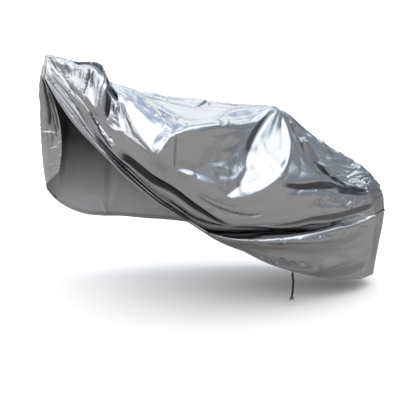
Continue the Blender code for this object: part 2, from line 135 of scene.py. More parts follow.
# Lengthwise lines of the top and of the far panel.
Top = namedtuple("Top", "at ridge far_seam side skirt hem")
TOP_SECTIONS = (
    Top(0.08, (-.487, .055, 1.058), (-.492, .085, 1.035), (-.575, .235, .72),
        (-.585, .275, .48), (-.570, .280, .350)),
    Top(0.15, (-.390, .000, 1.050), (-.400, .055, 1.000), (-.470, .200, .68),
        (-.480, .265, .43), (-.470, .280, .300)),
    Top(0.22, (-.346, -.010, .985), (-.348, .045, .955), (-.385, .185, .66),
        (-.390, .260, .41), (-.385, .280, .285)),
    Top(0.30, (-.276, -.005, .957), (-.275, .050, .935), (-.290, .180, .64),
        (-.290, .260, .39), (-.290, .280, .275)),
    Top(0.37, (-.200, -.020, .932), (-.195, .050, .915), (-.195, .175, .62),
        (-.190, .255, .38), (-.190, .280, .262)),
    Top(0.45, (-.092, -.055, .916), (-.095, .045, .898), (-.095, .170, .60),
        (-.090, .250, .37), (-.085, .280, .250)),
    Top(0.52, (.030, -.075, .904), (.005, .035, .885), (.010, .160, .58),
        (.015, .250, .35), (.015, .278, .235)),
    Top(0.60, (.125, -.085, .889), (.110, .020, .872), (.115, .150, .56),
        (.115, .240, .33), (.115, .270, .215)),
    Top(0.68, (.225, -.090, .877), (.215, -.010, .865), (.225, .135, .55),
        (.230, .230, .31), (.230, .262, .190)),
    Top(0.75, (.362, -.095, .865), (.360, -.035, .852), (.350, .120, .53),
        (.350, .215, .28), (.350, .250, .165)),
    Top(0.83, (.530, -.075, .740), (.530, .000, .725), (.490, .115, .47),
        (.480, .190, .24), (.480, .225, .130)),
    Top(0.90, (.670, -.060, .645), (.665, .015, .630), (.610, .105, .42),
        (.600, .160, .20), (.600, .190, .100)),
    Top(0.95, (.748, -.050, .596), (.745, .025, .578), (.715, .090, .38),
        (.710, .120, .18), (.705, .135, .075)),
)
FAR_LEVELS = (0.0, 1.5, 4.0, 7.0)     # where hem, skirt, side and seam lie on a section

# ---------------------------------------------------------------- folds
# A fold's line runs through three (at, level) places.  wide: half widths at its start and end.
# Depth is out of the sheet when positive.  shade: how dark its bottom is, as painted shade.
Fold = namedtuple("Fold", "start middle end wide depth shade")
# A row of a table has the fold's name, at and level of its start, middle and end, its two
# half widths, its depth and its shade, left out where it is 0.
# Rounded folds.
NEAR_SOFT = (
    ("filled rear gully", .84, 1.95, .93, 1.95, 1.02, 1.95, .03, .034, .012),
    ("long pull from the lever", .28, 3.25, .42, 3.42, .62, 3, .034, .026, -.008, .25),
    ("pull beside the lever", .11, 6.3, .16, 4.8, .24, 4.1, .022, .022, -.005),
    ("hollow behind the lever", .215, 6.7, .235, 6, .24, 5, .03, .03, -.012),
    ("lever slope", .085, 4.3, .15, 4.05, .21, 3.95, .045, .05, .01),
    ("rear slope pull", .785, 6.4, .86, 6.1, .96, 6, .02, .022, -.012, .2),
    ("hollow under the hip", .75, 3.8, .845, 3.85, .94, 3.9, .03, .03, -.009),
    ("belly pull", .5, 3.75, .6, 3.55, .72, 3.42, .022, .026, -.006),
    ("lower belly roll", .62, 3.1, .78, 3.2, .95, 3.35, .03, .03, .005),
    ("skirt roll", .66, .35, .82, .3, .97, .35, .045, .045, .006),
    ("crest between the pulls", .18, 2.7, .33, 2.6, .52, 2.4, .012, .014, .003),
)
# Folds that close on themselves: flat bottoms with painted shade between two crisp edges.
NEAR_TRENCH = (
    ("skirt shade", .6, .58, .8, .6, .98, .84, .036, .04, -.0006, .2),
    ("low skirt shade", .86, .06, .93, .12, 1, .24, .02, .036, -.0006, .28),
    ("gully end", .855, 1.35, .925, 1.62, .998, 1.8, .005, .005, -.003, .8),
    ("shade under the pull", .04, 1.45, .13, 1.4, .27, 1.25, .02, .026, -.001, .3),
    ("long pull", .288, 3, .415, 3.44, .618, 3, .036, .02, -.006, .99),
    ("lower pull", .2, 1.85, .315, 1.1, .505, .85, .02, .027, -.005, .99),
    ("black hollow one", .205, 7, .23, 6.55, .262, 5.75, .012, .02, -.011, .98),
    ("black hollow two", .207, 6.6, .219, 5.6, .225, 4.3, .013, .014, -.01, .98),
    ("gully floor", .49, .95, .66, 1.58, .85, 1.34, .026, .008, -.007, 1),
    ("hip hollow", .744, 4.02, .842, 3.9, .93, 4.66, .02, .024, -.004, .9),
    ("rear hollow", .915, 4.1, .957, 4.62, .995, 4.92, .034, .036, -.005, .9),
    ("band over the gully", .72, 2.98, .88, 3.12, 1, 3.16, .01, .026, -.003, .74),
    ("rear slope band", .785, 6.05, .875, 5.86, .95, 5.36, .014, .024, -.006, .94),
    ("rear slope line", .758, 6.45, .785, 5.95, .815, 5.4, .008, .01, -.004, .62),
    ("crinkled pull", .168, 3.45, .205, 3.08, .262, 2.92, .007, .007, -.004, .95),
    ("left of the lever", .125, 6.05, .132, 5.05, .142, 4.15, .009, .008, -.006, .9),
    ("beside the lever", .14, 5.95, .142, 5.3, .147, 4.75, .007, .008, -.005, .62),
    ("dark wedge", .738, 6.17, .702, 5.62, .679, 5, .012, .026, -.001, .72),
    ("seam gather one", .074, 7, .094, 6.8, .108, 6.56, .011, .011, -.002, .95),
    ("seam gather two", .1, 6.9, .116, 6.68, .13, 6.4, .012, .011, -.002, .95),
    ("seam gather three", .12, 6.72, .131, 6.52, .14, 6.36, .009, .01, -.002, .85),
    ("lever tip", .13, 7, .152, 6.78, .172, 6.4, .024, .022, -.002, .965),
    ("lever tip foot", .134, 6.48, .15, 6.24, .17, 6.1, .01, .011, -.002, .62),
    ("gully head", .09, 2.55, .155, 1.75, .222, 1.35, .006, .01, -.004, .8),
    ("flank facet one", .268, 5.85, .279, 5.55, .288, 5.2, .009, .011, -.003, .4),
    ("flank facet two", .301, 5.38, .312, 5.17, .325, 4.92, .008, .01, -.004, .66),
    ("belly line one", .512, 3.88, .6, 3.58, .705, 3.42, .005, .006, -.004, .6),
    ("belly line two", .525, 3.98, .57, 3.86, .64, 3.72, .004, .004, -.002, .35),
    ("hem slot", .15, .8, .22, .82, .33, .8, .005, .006, -.004, .85),
    ("tip line", .318, 5.02, .345, 4.95, .368, 4.97, .004, .003, -.003, .6),
)
# Crisp creases with flat sides.
NEAR_CREASE = (
    ("blue facet edge", .508, 4.45, .555, 4.38, .605, 4.36, .055, .055, .0055),
    ("belly crumple", .655, 3.3, .695, 3.36, .735, 3.5, .008, .008, .004),
    ("triangle left edge", .28, 6.05, .325, 5.38, .378, 4.92, .022, .03, .01),
    ("triangle right edge", .37, 4.95, .408, 5.5, .452, 6, .034, .034, .014),
    ("shoulder line", .432, 5.88, .56, 6.1, .705, 5.94, .03, .034, .0125),
    ("shoulder line end", .69, 6.1, .725, 6.3, .748, 6.6, .016, .012, .004),
    ("brow", .208, 4.42, .252, 4.2, .3, 4.86, .018, .018, .008),
    ("brow to the tip", .296, 4.62, .333, 4.8, .376, 4.98, .014, .012, .004),
    ("flank ridge", .233, 6.15, .268, 5.3, .3, 4.42, .016, .02, .006),
    ("flank ridge two", .247, 6.05, .256, 5.45, .252, 4.55, .014, .016, .004),
    ("flank streak", .296, 6, .302, 5.6, .312, 5.2, .01, .01, .003),
    ("front ridge one", .01, 6.7, .03, 5.2, .066, 3.9, .006, .014, .0018),
    ("front ridge two", .032, 6.7, .05, 5.5, .084, 4.5, .007, .013, .002),
    ("front ridge three", .06, 6.7, .074, 5.7, .098, 4.8, .008, .014, .002),
    ("front ridge four", .02, 4.4, .06, 3.65, .115, 3.35, .01, .014, .0025),
    ("front ridge six", .085, 6.8, .096, 6, .11, 5, .007, .01, .002),
    ("front valley one", .02, 6.6, .041, 5.3, .076, 4.1, .005, .01, -.0012, .15),
    ("front valley two", .02, 5.2, .05, 4.2, .11, 3.6, .006, .01, -.0016, .2),
    ("front valley three", .05, 6.35, .064, 5.55, .08, 4.85, .007, .01, -.0026, .4),
    ("front valley four", .008, 6.4, .018, 5.5, .04, 4.3, .007, .01, -.0024, .4),
    ("front ridge seven", .036, 6.45, .05, 5.8, .064, 5.2, .009, .011, .0032),
    ("diagonal to the fan", .446, 4.52, .52, 4.28, .607, 4, .034, .046, .007),
    ("packing crease one", .467, 5.98, .457, 5.2, .452, 4.5, .007, .007, -.0022, .42),
    ("packing crease three", .47, 5.1, .56, 4.98, .65, 5.05, .024, .024, -.003),
    ("packing crease four", .55, 5.32, .6, 5.28, .66, 5.34, .01, .01, -.0012),
    ("light facet", .458, 4.5, .487, 4.5, .512, 4.54, .016, .02, .0088),
    ("light facet right", .503, 4.92, .515, 4.7, .523, 4.5, .01, .01, -.004, .1),
    ("crumple two", .612, 4.8, .622, 4.66, .617, 4.52, .01, .01, .0025),
    ("fan left edge", .74, 6.2, .697, 5.4, .674, 4.6, .012, .028, -.006),
    ("fan left foot", .676, 4.62, .65, 4.3, .6, 3.99, .026, .026, -.006),
    ("fan right edge", .75, 6.25, .761, 5.25, .738, 4.36, .02, .03, .006),
    ("fan right foot", .75, 4.62, .738, 4.36, .715, 4.12, .022, .028, .008),
    ("fan bottom", .735, 4.22, .692, 4.05, .606, 3.96, .036, .048, .014),
    ("fan notch", .648, 4.42, .651, 4.22, .654, 4, .009, .008, -.0035, .35),
    ("fan spike", .681, 4.36, .686, 4.22, .691, 4.06, .006, .007, .002),
    ("fan streak one", .747, 6.15, .738, 5.75, .726, 5.35, .005, .014, -.002, .1),
    ("fan streak three", .756, 5.9, .758, 5.4, .748, 4.9, .006, .012, -.0018, .1),
    ("fan nick one", .713, 5.25, .717, 5.05, .72, 4.85, .005, .005, -.0016, .25),
    ("fan nick two", .722, 4.62, .724, 4.45, .727, 4.28, .004, .004, -.0016, .2),
    ("shoulder grey streak", .43, 6.8, .447, 6.52, .47, 6.2, .011, .011, -.004, .25),
    ("shoulder point one", .452, 6.85, .478, 6.48, .503, 6.14, .014, .014, .005),
    ("shoulder notch", .499, 6.5, .504, 6.32, .51, 6.12, .007, .007, -.003, .3),
    ("shoulder point two", .505, 6.75, .513, 6.42, .523, 6.1, .01, .009, .003),
    ("shoulder facet one", .606, 6.7, .613, 6.36, .604, 6.06, .013, .011, -.004, .45),
    ("shoulder facet two", .624, 6.7, .633, 6.36, .617, 6.02, .012, .01, .004),
    ("shoulder streak one", .3, 6.9, .37, 6.62, .45, 6.5, .01, .012, .003),
    ("shoulder streak two", .35, 6.92, .42, 6.78, .5, 6.8, .01, .012, .003),
    ("hip ridge one", .775, 6, .79, 5.25, .812, 4.55, .016, .024, .0035),
    ("hip valley one", .8, 5.55, .82, 5.05, .845, 4.62, .012, .018, -.0025, .15),
    ("hip ridge three", .85, 5.5, .886, 5.1, .925, 4.8, .014, .016, .0035),
    ("star one", .785, 5.98, .797, 5.85, .815, 5.8, .007, .007, .003),
    ("star two", .797, 6.15, .799, 5.9, .801, 5.65, .005, .005, -.003, .5),
    ("star three", .8, 5.8, .808, 5.68, .822, 5.62, .007, .007, .003),
    ("slope facet one", .85, 6.6, .9, 6.1, .955, 5.75, .02, .022, .006),
    ("slope facet two", .88, 5.35, .93, 5.3, .975, 5.6, .018, .018, .005),
    ("slope facet three", .9, 4.95, .94, 4.95, .99, 5.2, .016, .016, .005),
    ("corner facet", .935, 6.3, .962, 5.7, .985, 4.9, .016, .016, .005),
    ("lip shelf", .6, .98, .8, .9, .995, .8, .01, .028, .009),
    ("lip end", .96, .95, .982, .9, .998, .7, .01, .012, .005),
    ("rear band crease one", .86, 2.15, .93, 2.3, .995, 2.35, .014, .016, .006),
    ("rear band crease two", .88, 1.72, .94, 1.8, .998, 1.85, .01, .01, .004),
    ("rear band line", .88, 1.95, .94, 2.02, 1, 2.08, .006, .006, -.003, .5),
    ("low facet one", .775, 3.72, .805, 3.62, .835, 3.72, .012, .012, .0026),
    ("low facet two", .8, 3.55, .85, 3.4, .925, 3.45, .014, .016, .005),
    ("low facet three", .87, 3.68, .9, 3.55, .925, 3.62, .01, .01, .003),
    ("skirt crease one", .7, .62, .82, .52, .99, .6, .024, .024, -.0025, .1),
    ("skirt crease two", .73, .35, .745, .22, .755, .1, .01, .01, .003),
    ("skirt band", .79, .04, .905, .26, 1, .62, .04, .046, .009),
    ("thin crest", .25, 3.15, .38, 3.14, .53, 2.95, .008, .008, .002),
    ("crinkled crest", .165, 3.85, .215, 3.3, .285, 3.1, .005, .005, .0014),
    ("hem roll", .1, .35, .28, .38, .52, .45, .01, .01, .004),
    ("short pull", .075, 3.9, .098, 3.5, .125, 3.2, .005, .008, -.003, .4),
)

# Pleats: a long flat side to the left of a line drawn downwards and a short one beyond it.
NEAR_PLEAT = (
    ("lever foot", .216, 4.3, .185, 4.28, .148, 4.34, .11, .11, .015),
    ("slope beside the fan", .74, 4.26, .757, 4.95, .756, 5.85, .095, .05, .017),
    ("fan head", .71, 6.42, .735, 6.46, .758, 6.4, .1, .1, .017),
    ("triangle right side", .377, 4.9, .417, 5.42, .462, 5.98, .046, .052, .011),
    ("filled front gully", .3, 1.85, .14, 1.95, -.02, 1.95, .1, .1, .009),
    ("blue band", .262, 6.95, .335, 6.6, .437, 6.28, .05, .045, .013),
    ("shoulder strip", .498, 6.72, .555, 6.62, .612, 6.72, .05, .05, .01),
    ("blue strip to the saddle", .632, 6.95, .675, 6.88, .722, 6.72, .055, .05, .012),
    ("column one", .098, 6.45, .106, 5.4, .121, 4.2, .026, .026, .0045),
    ("column two", .118, 6.35, .1235, 5.4, .134, 4.2, .028, .028, .006),
    ("column three", .138, 6, .139, 5.4, .145, 4.6, .014, .014, .003),
    ("column four", .163, 6.2, .168, 5.3, .188, 4.2, .022, .024, .006),
    ("column five", .18, 6.35, .185, 5.4, .201, 4.3, .022, .022, .0078),
    ("column six", .198, 6.5, .203, 5.4, .213, 4.4, .022, .02, .0085),
    ("front pleat one", .02, 6.85, .036, 5.9, .058, 4.9, .012, .018, .0025),
    ("front pleat two", .066, 6.85, .074, 6.2, .086, 5.4, .016, .018, .003),
)

FAR_SOFT = (
    ("front drape", .1, 6.3, .12, 4, .1, 1, .05, .05, -.022, .2),
    ("bar drape", .24, 6.2, .27, 4, .25, 0.8, .045, .045, .016),
    ("middle drape", .4, 6.2, .44, 4, .43, 0.8, .055, .055, -.02, .2),
    ("saddle drape", .73, 6, .66, 4, .62, 1.2, .05, .05, .02),
    ("rear drape", .76, 6, .82, 4, .86, 1.5, .05, .05, -.018, .2),
    ("low sag", .3, 3.2, .5, 2.7, .68, 2.9, .03, .03, -.012, .1),
)
FAR_CREASE = (
    ("bar streak one", .05, 6.7, .1, 5.2, .17, 3.8, .006, .014, -.008, .4),
    ("bar streak two", .08, 6.8, .15, 5.4, .26, 4.3, .006, .014, .008),
    ("bar streak three", .12, 6.7, .2, 5.6, .33, 4.6, .006, .014, -.008, .3),
    ("bar streak four", .03, 6.2, .05, 4.4, .06, 2.6, .006, .014, .007),
    ("lever streak", .18, 6.6, .17, 5, .19, 3.2, .008, .014, .009),
    ("top pull one", .24, 6.7, .38, 6, .56, 5.8, .008, .012, -.008, .3),
    ("top pull two", .3, 6.5, .45, 5.4, .62, 5.1, .008, .014, .008),
    ("saddle streak one", .745, 6.7, .7, 5.4, .64, 4.2, .006, .016, -.009, .4),
    ("saddle streak two", .752, 6.6, .735, 5.2, .71, 3.8, .006, .016, .008),
    ("saddle streak three", .758, 6.7, .77, 5.2, .775, 3.7, .006, .016, -.009, .4),
    ("saddle streak four", .765, 6.7, .81, 5.6, .87, 4.6, .006, .014, .008),
    ("saddle streak five", .77, 6.8, .85, 6.1, .94, 5.4, .006, .012, -.008, .5),
    ("skirt pull one", .12, 1.6, .35, 1.3, .58, 1.7, .01, .01, -.006, .3),
    ("skirt pull two", .55, 1, .75, 1.4, .97, 1.2, .01, .012, .006),
    ("packing crease one", .34, 5.6, .335, 3.4, .33, 1, .005, .005, -.003, .2),
    ("packing crease two", .56, 5.4, .56, 3.4, .555, 1, .005, .005, .003),
    ("packing crease three", .1, 3.1, .5, 3, .93, 3.1, .005, .005, -.002, .1),
    ("hem pucker one", .22, 1.1, .235, .5, .24, .08, .01, .012, -.006, .3),
    ("hem pucker two", .48, 1.2, .47, .6, .475, .08, .01, .012, .006),
    ("hem pucker three", .78, 1, .785, .5, .79, .08, .01, .012, -.005, .3),
)
# Folds of the gusset are placed by (along, across).  Along is -1 to 0 up the front end,
# 0 to 1 over the top and 1 to 2 down the rear end.
CROWN_SOFT = (
    ("dip before the saddle", .52, .3, .6, .45, .68, .4, .06, .06, -.012),
    ("rear slope dip", .8, .5, .85, .5, .9, .45, .04, .04, -.008),
    ("front sag", -.75, .25, -.45, .35, -.15, .4, .03, .022, -.006, .1),
    ("rear roll", 1.15, .65, 1.45, .6, 1.85, .65, .024, .03, -.008, .1),
)
CROWN_TRENCH = (
    ("front dark band", -.3, .12, -.48, .2, -.72, .14, .012, .014, -.008, .75),
    ("front dark fold", -.14, .26, -.36, .3, -.6, .35, .017, .018, -.006, .97),
    ("front low fold", -.5, .42, -.66, .42, -.84, .34, .01, .014, -.002, .25),
    ("front seam shade", -.16, .06, -.4, .07, -.66, .1, .014, .016, -.003, .95),
    ("rear end shade", 1.02, .22, 1.48, .26, 1.995, .26, .095, .12, -.0006, .38),
    ("lever back fold", .205, .1, .235, .4, .255, .8, .01, .01, -.006, .7),
    ("top fold point", .515, .28, .548, .5, .575, .85, .004, .014, -.005, .6),
)
CROWN_CREASE = (
    ("slope light facet", .76, .34, .8, .32, .856, .24, .03, .028, .011),
    ("slope light facet two", .846, .26, .876, .26, .906, .18, .016, .016, .006),
    ("front crease one", -.61, .78, -.64, .45, -.69, .06, .006, .006, .006),
    ("front crease two", -.53, .97, -.54, .8, -.55, .62, .006, .006, .005),
    ("front crease three", -.7, .8, -.5, .62, -.3, .45, .008, .008, .006),
    ("front streak one", -.1, .3, -.35, .25, -.8, .3, .005, .012, -.008, .5),
    ("front streak two", -.05, .6, -.3, .7, -.75, .75, .005, .012, .008),
    ("bar top crease", .1, .3, .13, .5, .16, .75, .008, .008, -.006, .5),
    ("lever back crease", .2, .15, .26, .45, .34, .6, .006, .01, -.007, .4),
    ("top streak one", .3, .25, .4, .4, .56, .35, .006, .01, .006),
    ("top streak two", .36, .15, .47, .25, .6, .2, .006, .01, -.005, .2),
    ("top streak three", .46, .75, .56, .65, .7, .55, .006, .01, -.006, .3),
    ("saddle top crease", .71, .2, .745, .5, .755, .85, .006, .006, .004),
    ("slope crease one", .77, .15, .82, .3, .9, .25, .005, .01, -.006, .5),
    ("slope crease two", .79, .35, .87, .5, .97, .4, .005, .01, .006),
    ("slope crease three", .84, .7, .91, .6, .98, .75, .006, .008, -.006, .3),
    ("corner facet one", .955, .05, .985, .25, 1.04, .35, .007, .008, .008),
    ("corner facet two", .985, .05, 1.02, .25, 1.1, .25, .006, .006, -.007, .6),
    ("rear streak one", 1.05, .45, 1.3, .5, 1.55, .45, .006, .01, -.006, .4),
    ("rear streak two", 1.2, .2, 1.33, .45, 1.42, .8, .006, .008, .005),
    ("rear streak three", 1.28, .15, 1.38, .4, 1.46, .75, .006, .008, -.005, .5),
    ("rear streak four", 1.5, .3, 1.7, .4, 1.9, .35, .006, .008, .004),
)

# Patches of small creases, in or out of the sheet, scattered by a seeded draw inside a
# range of places.  turn: the way they run, in turns of the (along, up) directions; spread about it.
Crinkle = namedtuple("Crinkle", "name first last count length wide depth turn spread")
NEAR_CRINKLES = (
    Crinkle("pull crinkles", (.17, 3.05), (.27, 3.65), 26, .016, .0060, .0050, .30, .20),
    Crinkle("lip crinkles", (.64, .86), (.97, 1.02), 26, .018, .0070, .0040, .20, .20),
    Crinkle("skirt specks", (.72, .10), (.90, .30), 22, .022, .0075, .0080, .20, .25),
    Crinkle("rear crinkles", (.84, 3.35), (.96, 3.75), 16, .026, .0080, .0050, .20, .20),
    Crinkle("flank crinkles", (.24, 4.40), (.33, 5.90), 12, .034, .0090, .0025, .65, .12),
    Crinkle("shoulder crinkles", (.34, 6.15), (.50, 6.90), 14, .050, .0120, .0026, .60, .14),
    Crinkle("gather crinkles", (.08, 6.00), (.16, 6.85), 12, .024, .0070, .0025, .25, .20),
    Crinkle("fan crinkles", (.68, 4.30), (.75, 5.60), 8, .050, .0120, .0012, .30, .10),
    Crinkle("slope crinkles", (.79, 4.40), (.95, 6.60), 20, .050, .0120, .0030, .62, .12),
    Crinkle("front crinkles", (.02, .50), (.20, 5.80), 20, .060, .0090, .0018, .68, .06),
    Crinkle("skirt creases", (.60, .20), (.97, .90), 12, .080, .0160, .0018, .05, .10),
    Crinkle("belly creases", (.45, 3.00), (.97, 4.00), 18, .080, .0160, .0022, .02, .08),
    Crinkle("wall creases", (.42, 4.30), (.68, 5.90), 16, .110, .0240, .0018, .25, .25),
)
FAR_CRINKLES = (
    Crinkle("bar crinkles", (.02, 4.00), (.34, 6.80), 50, .060, .0080, .0030, .62, .12),
    Crinkle("saddle crinkles", (.62, 3.50), (.90, 6.80), 50, .060, .0090, .0030, .28, .18),
    Crinkle("wall creases", (.05, .40), (.97, 6.60), 110, .090, .0120, .0020, .25, .30),
    Crinkle("hem crinkles", (.05, .10), (.97, .80), 50, .040, .0070, .0026, .25, .20),
)
CROWN_CRINKLES = (
    Crinkle("front crinkles", (-.95, .10), (-.05, .90), 30, .060, .0075, .0018, .30, .20),
    Crinkle("top crinkles", (.02, .10), (.45, .90), 34, .050, .0075, .0030, .10, .20),
    Crinkle("plateau creases", (.40, .15), (.74, .90), 18, .070, .0100, .0020, .10, .25),
    Crinkle("slope crinkles", (.74, .10), (1.10, .90), 40, .050, .0075, .0032, .05, .20),
    Crinkle("rear crinkles", (1.10, .10), (1.95, .90), 34, .050, .0075, .0026, .30, .25),
)

# Flat facets inside a range of places: their size, how much longer than wide, their turn
# and their height.
Facets = namedtuple("Facets", "name first last size stretch turn height")
NEAR_FACETS = (
    Facets("whole side", (-1, -1), (2, 8), .085, 1.8, .35, .0016),
    Facets("front sheet", (.01, 3.0), (.21, 7.0), .030, 3.0, -.95, .0022),
    Facets("flank", (.225, 4.3), (.335, 6.4), .040, 1.5, -.9, .0032),
    Facets("shoulder", (.27, 6.0), (.53, 7.0), .045, 2.2, -.25, .0040),
    Facets("beside the fan", (.56, 4.3), (.67, 5.0), .038, 1.5, .6, .0030),
    Facets("fan", (.64, 4.0), (.77, 6.2), .050, 1.8, 1.2, .0010),
    Facets("rear slope", (.77, 4.3), (.99, 7.0), .046, 1.9, -.7, .0060),
    Facets("under the hip", (.77, 3.3), (.99, 3.85), .034, 1.7, .2, .0028),
    Facets("rear bands", (.84, 1.2), (.995, 2.6), .034, 2.0, .1, .0034),
    Facets("skirt", (.68, .0), (.99, .9), .050, 1.8, .2, .0020),
    Facets("pulls", (.15, 1.8), (.62, 3.6), .040, 3.0, -.1, .0009),
)
FAR_FACETS = (
    Facets("whole side", (-1, -1), (2, 8), .090, 1.8, 1.1, .0040),
    Facets("bar", (.0, 3.5), (.35, 7.0), .045, 1.8, -.8, .0050),
    Facets("saddle", (.62, 3.5), (.95, 7.0), .045, 1.8, .9, .0050),
)
CROWN_FACETS = (
    Facets("whole strip", (-2, -1), (3, 2), .060, 1.6, .3, .0012),
    Facets("front end", (-1, 0), (-.03, 1), .036, 1.8, .5, .0018),
    Facets("rear slope", (.74, 0), (1.25, 1), .036, 1.8, .2, .0045),
)

# ---------------------------------------------------------------- sampling of the panels
NEAR_ALONG = 410
NEAR_LEVEL_CELLS = (44, 17, 23, 35, 32, 34, 35)
FAR_ALONG = 330
FAR_LEVEL_CELLS = (30, 12, 18, 24, 26, 26, 30)
CROWN_ALONG = 380
CROWN_END_CELLS = 140
CROWN_CELLS = 40
CLOTH_LENGTH = 1.75                   # of a side panel, front edge to rear seam
LEVEL_HEIGHT = 0.12                   # of cloth between two levels, about

FOLD_STEPS = 16                       # straight pieces of a fold's line
FOLD_REACH = 1.6                      # of its half width: how far around it is looked at
FOLD_MARGIN = (.004, .02)             # and a little more, in (at, level)
FOLD_END_WIDTH = .35                  # of its width, where its height would be 0
FOLD_TIPS = (.01, .99)                # it ends here, a little before that
TRENCH_FLOOR = .35                    # share of a trench's half width that is flat
PLEAT_SHORT = 0.24                    # short side of a pleat, of its long side
SHADE_FROM, SHADE_EDGE = .62, .30     # of its half width: its shade ends from, over
SHADE_TAPER = .5                      # and fades out where its height is less than this

CRINKLE_LENGTHS = (.5, 1.3)           # ranges of the draws, of the patch's own values
CRINKLE_DEPTHS = (.4, 1.2)
CRINKLE_WIDTHS = (.7, 1.4)
CRINKLE_START = .7                    # width at its start, of that at its end
CRINKLE_BEND = 0.12                   # its middle is off by this, of its run the other way
CRINKLE_BEND_ALONG = 0.1              # and by this much of that along the sheet
# Painted shade in the bottoms of crinkles that go into the sheet.
DENT_SHADE = 0.12

FACET_TABLE = 64                      # random heights of the facets' corners
FACET_BEND = .35                      # how far the facets' rows wander, of their size
FACET_WAVES = (1.7, 1.3)              # rates of that, along and up
FACET_SHIFT = 6                       # their shifts are drawn from 0 to this
FACET_EDGES = (.02, .25)              # a patch of facets fades out over this (at, level)
RIPPLE_BEND = 1.3                     # radians that the waves wander
RIPPLE_RATES = (9, 5)                 # and how fast, up and along

SEAM_RIDGE = (0.0024, 0.0060, 0.0036)  # height of the sewn ridge, its place and its width
PUCKER_HEIGHT = 0.0011
PUCKER_REACH = 0.030
PUCKER_FREE = .004                    # they rise from 0 over this way from the edge
PUCKER_RATES = (310.0, 205.0, 430.0, 120.0)   # of their waves, by length of seam
SEAM_INSET = 0.0004                   # each panel stops this far from the seam line
FRONT_INSET = 0.0018                  # and the near side this far from its front edge
HEM_TURN = 0.020                      # width of the turned-up hem
HEM_LAY = 0.0014                      # it lies this far inside the panel
# Its rows of vertices from the raw edge down, as shares of HEM_TURN and HEM_LAY.
HEM_ROWS = ((1, 1), (.55, 1.1), (.15, 1), (.04, .9), (-.02, .45))
HEM_FOOT = .001                       # of cloth between its last row and the panel


def through_rows(places, values, where):
    """Smooth curve through rows of values at rising places, read at `where`."""
    places = np.asarray(places, float)
    values = np.asarray(values, float)
    shape = (-1,) + (1,) * (values.ndim - 1)
    steps = np.diff(places)
    chords = np.diff(values, axis=0) / steps.reshape(shape)
    left = steps[:-1].reshape(shape)
    right = steps[1:].reshape(shape)
    inner = (chords[:-1] * right + chords[1:] * left) / (left + right)
    slopes = np.concatenate([chords[:1], inner, chords[-1:]])
    cell = np.clip(np.searchsorted(places, where, side="right") - 1, 0, len(steps) - 1)
    step = steps[cell]
    t = ((where - places[cell]) / step).reshape(shape)
    step = step.reshape(shape)
    start = values[cell] * (2 * t**3 - 3 * t**2 + 1) + slopes[cell] * step * (t**3 - 2 * t**2 + t)
    end = values[cell + 1] * (3 * t**2 - 2 * t**3) + slopes[cell + 1] * step * (t**3 - t**2)
    return start + end


def section_points(row):
    """The eight (x, y, z) points of one near-side section."""
    pairs = np.array([getattr(row, level) for level in LEVELS])
    rise = (pairs[:, 1] - row.hem[1]) / (row.seam[1] - row.hem[1])
    across = row.hem_x + (row.seam_x - row.hem_x) * rise + row.bulge * np.sin(np.pi * rise)
    return np.column_stack([across, pairs])


def level_samples(cells):
    """Levels of the sheet's rows of vertices, from the hem to the seam."""
    samples = [0.0]
    for level, count in enumerate(cells):
        samples += [level + (step + 1) / count for step in range(count)]
    return np.array(samples)


NEAR_ROWS = np.array([section_points(row) for row in NEAR_SECTIONS])
TOP_PLACES = [0.0] + [row.at for row in TOP_SECTIONS] + [1.0]


def near_surface(at, levels):
    """Smooth near side at every (at, level)."""
    lines = through_rows([row.at for row in NEAR_SECTIONS], NEAR_ROWS, at)
    return through_rows(range(len(LEVELS)), lines.swapaxes(0, 1), levels).swapaxes(0, 1)


def end_line(rows, name, levels):
    """One edge of the gusset's front or rear end, read at levels."""
    rows = sorted(rows, key=lambda row: row.level)
    return through_rows([row.level for row in rows], [getattr(row, name) for row in rows], levels)


def top_line(name, end_name, at):
    """A lengthwise line of the top, between its points on the front and rear ends."""
    points = [getattr(row, name) for row in TOP_SECTIONS]
    first, last = getattr(FRONT_END[-1], end_name), getattr(REAR_END[0], end_name)
    return through_rows(TOP_PLACES, [first] + points + [last], at)


def far_surface(at, levels):
    """Smooth far side: sections between the front edge and the rear edge."""
    rows = [end_line(FRONT_END, "far", levels)]
    for row in TOP_SECTIONS:
        rise = [row.hem, row.skirt, row.side, row.far_seam]
        rows.append(through_rows(FAR_LEVELS, rise, levels))
    rows.append(end_line(REAR_END, "far", levels))
    return through_rows(TOP_PLACES, np.array(rows), at)


def crown_surface(along, across):
    """Smooth gusset, from the front hem over the top to the rear hem."""
    climb = TOP_LEVEL * (1 + along[along < 0])
    drop = TOP_LEVEL * (2 - along[along > 1])
    at = along[(along >= 0) & (along <= 1)]
    lines = [np.concatenate([end_line(FRONT_END, "near", climb),
                             near_surface(at, np.array([TOP_LEVEL]))[:, 0],
                             near_surface(np.array([1.0]), drop)[0]])]
    for name, end_name in (("ridge", "ridge"), ("far_seam", "far")):
        lines.append(np.concatenate([end_line(FRONT_END, end_name, climb),
                                     top_line(name, end_name, at),
                                     end_line(REAR_END, end_name, drop)]))
    return through_rows((0.0, 0.5, 1.0), np.array(lines), across).swapaxes(0, 1)


# ---------------------------------------------------------------- folds on a panel
def unit(vectors):
    return vectors / np.maximum(np.linalg.norm(vectors, axis=-1, keepdims=True), 1e-12)


def outward(points, side):
    """Unit normals of a grid of points; side is -1 where its rows run the other way."""
    return side * unit(np.cross(np.gradient(points, axis=0), np.gradient(points, axis=1)))


def fade(distance, reach):
    """0 at an edge, rising smoothly to 1 at `reach` from it."""
    share = np.clip(distance / reach, 0, 1)
    return share * share * (3 - 2 * share)


def soft(gap):
    return np.cos(np.clip(gap, 0, 1) * np.pi / 2) ** 2


def trench(gap):
    return 1 - fade(gap - TRENCH_FLOOR, 1 - TRENCH_FLOOR)


def crease(gap):
    return 1 - np.clip(gap, 0, 1)


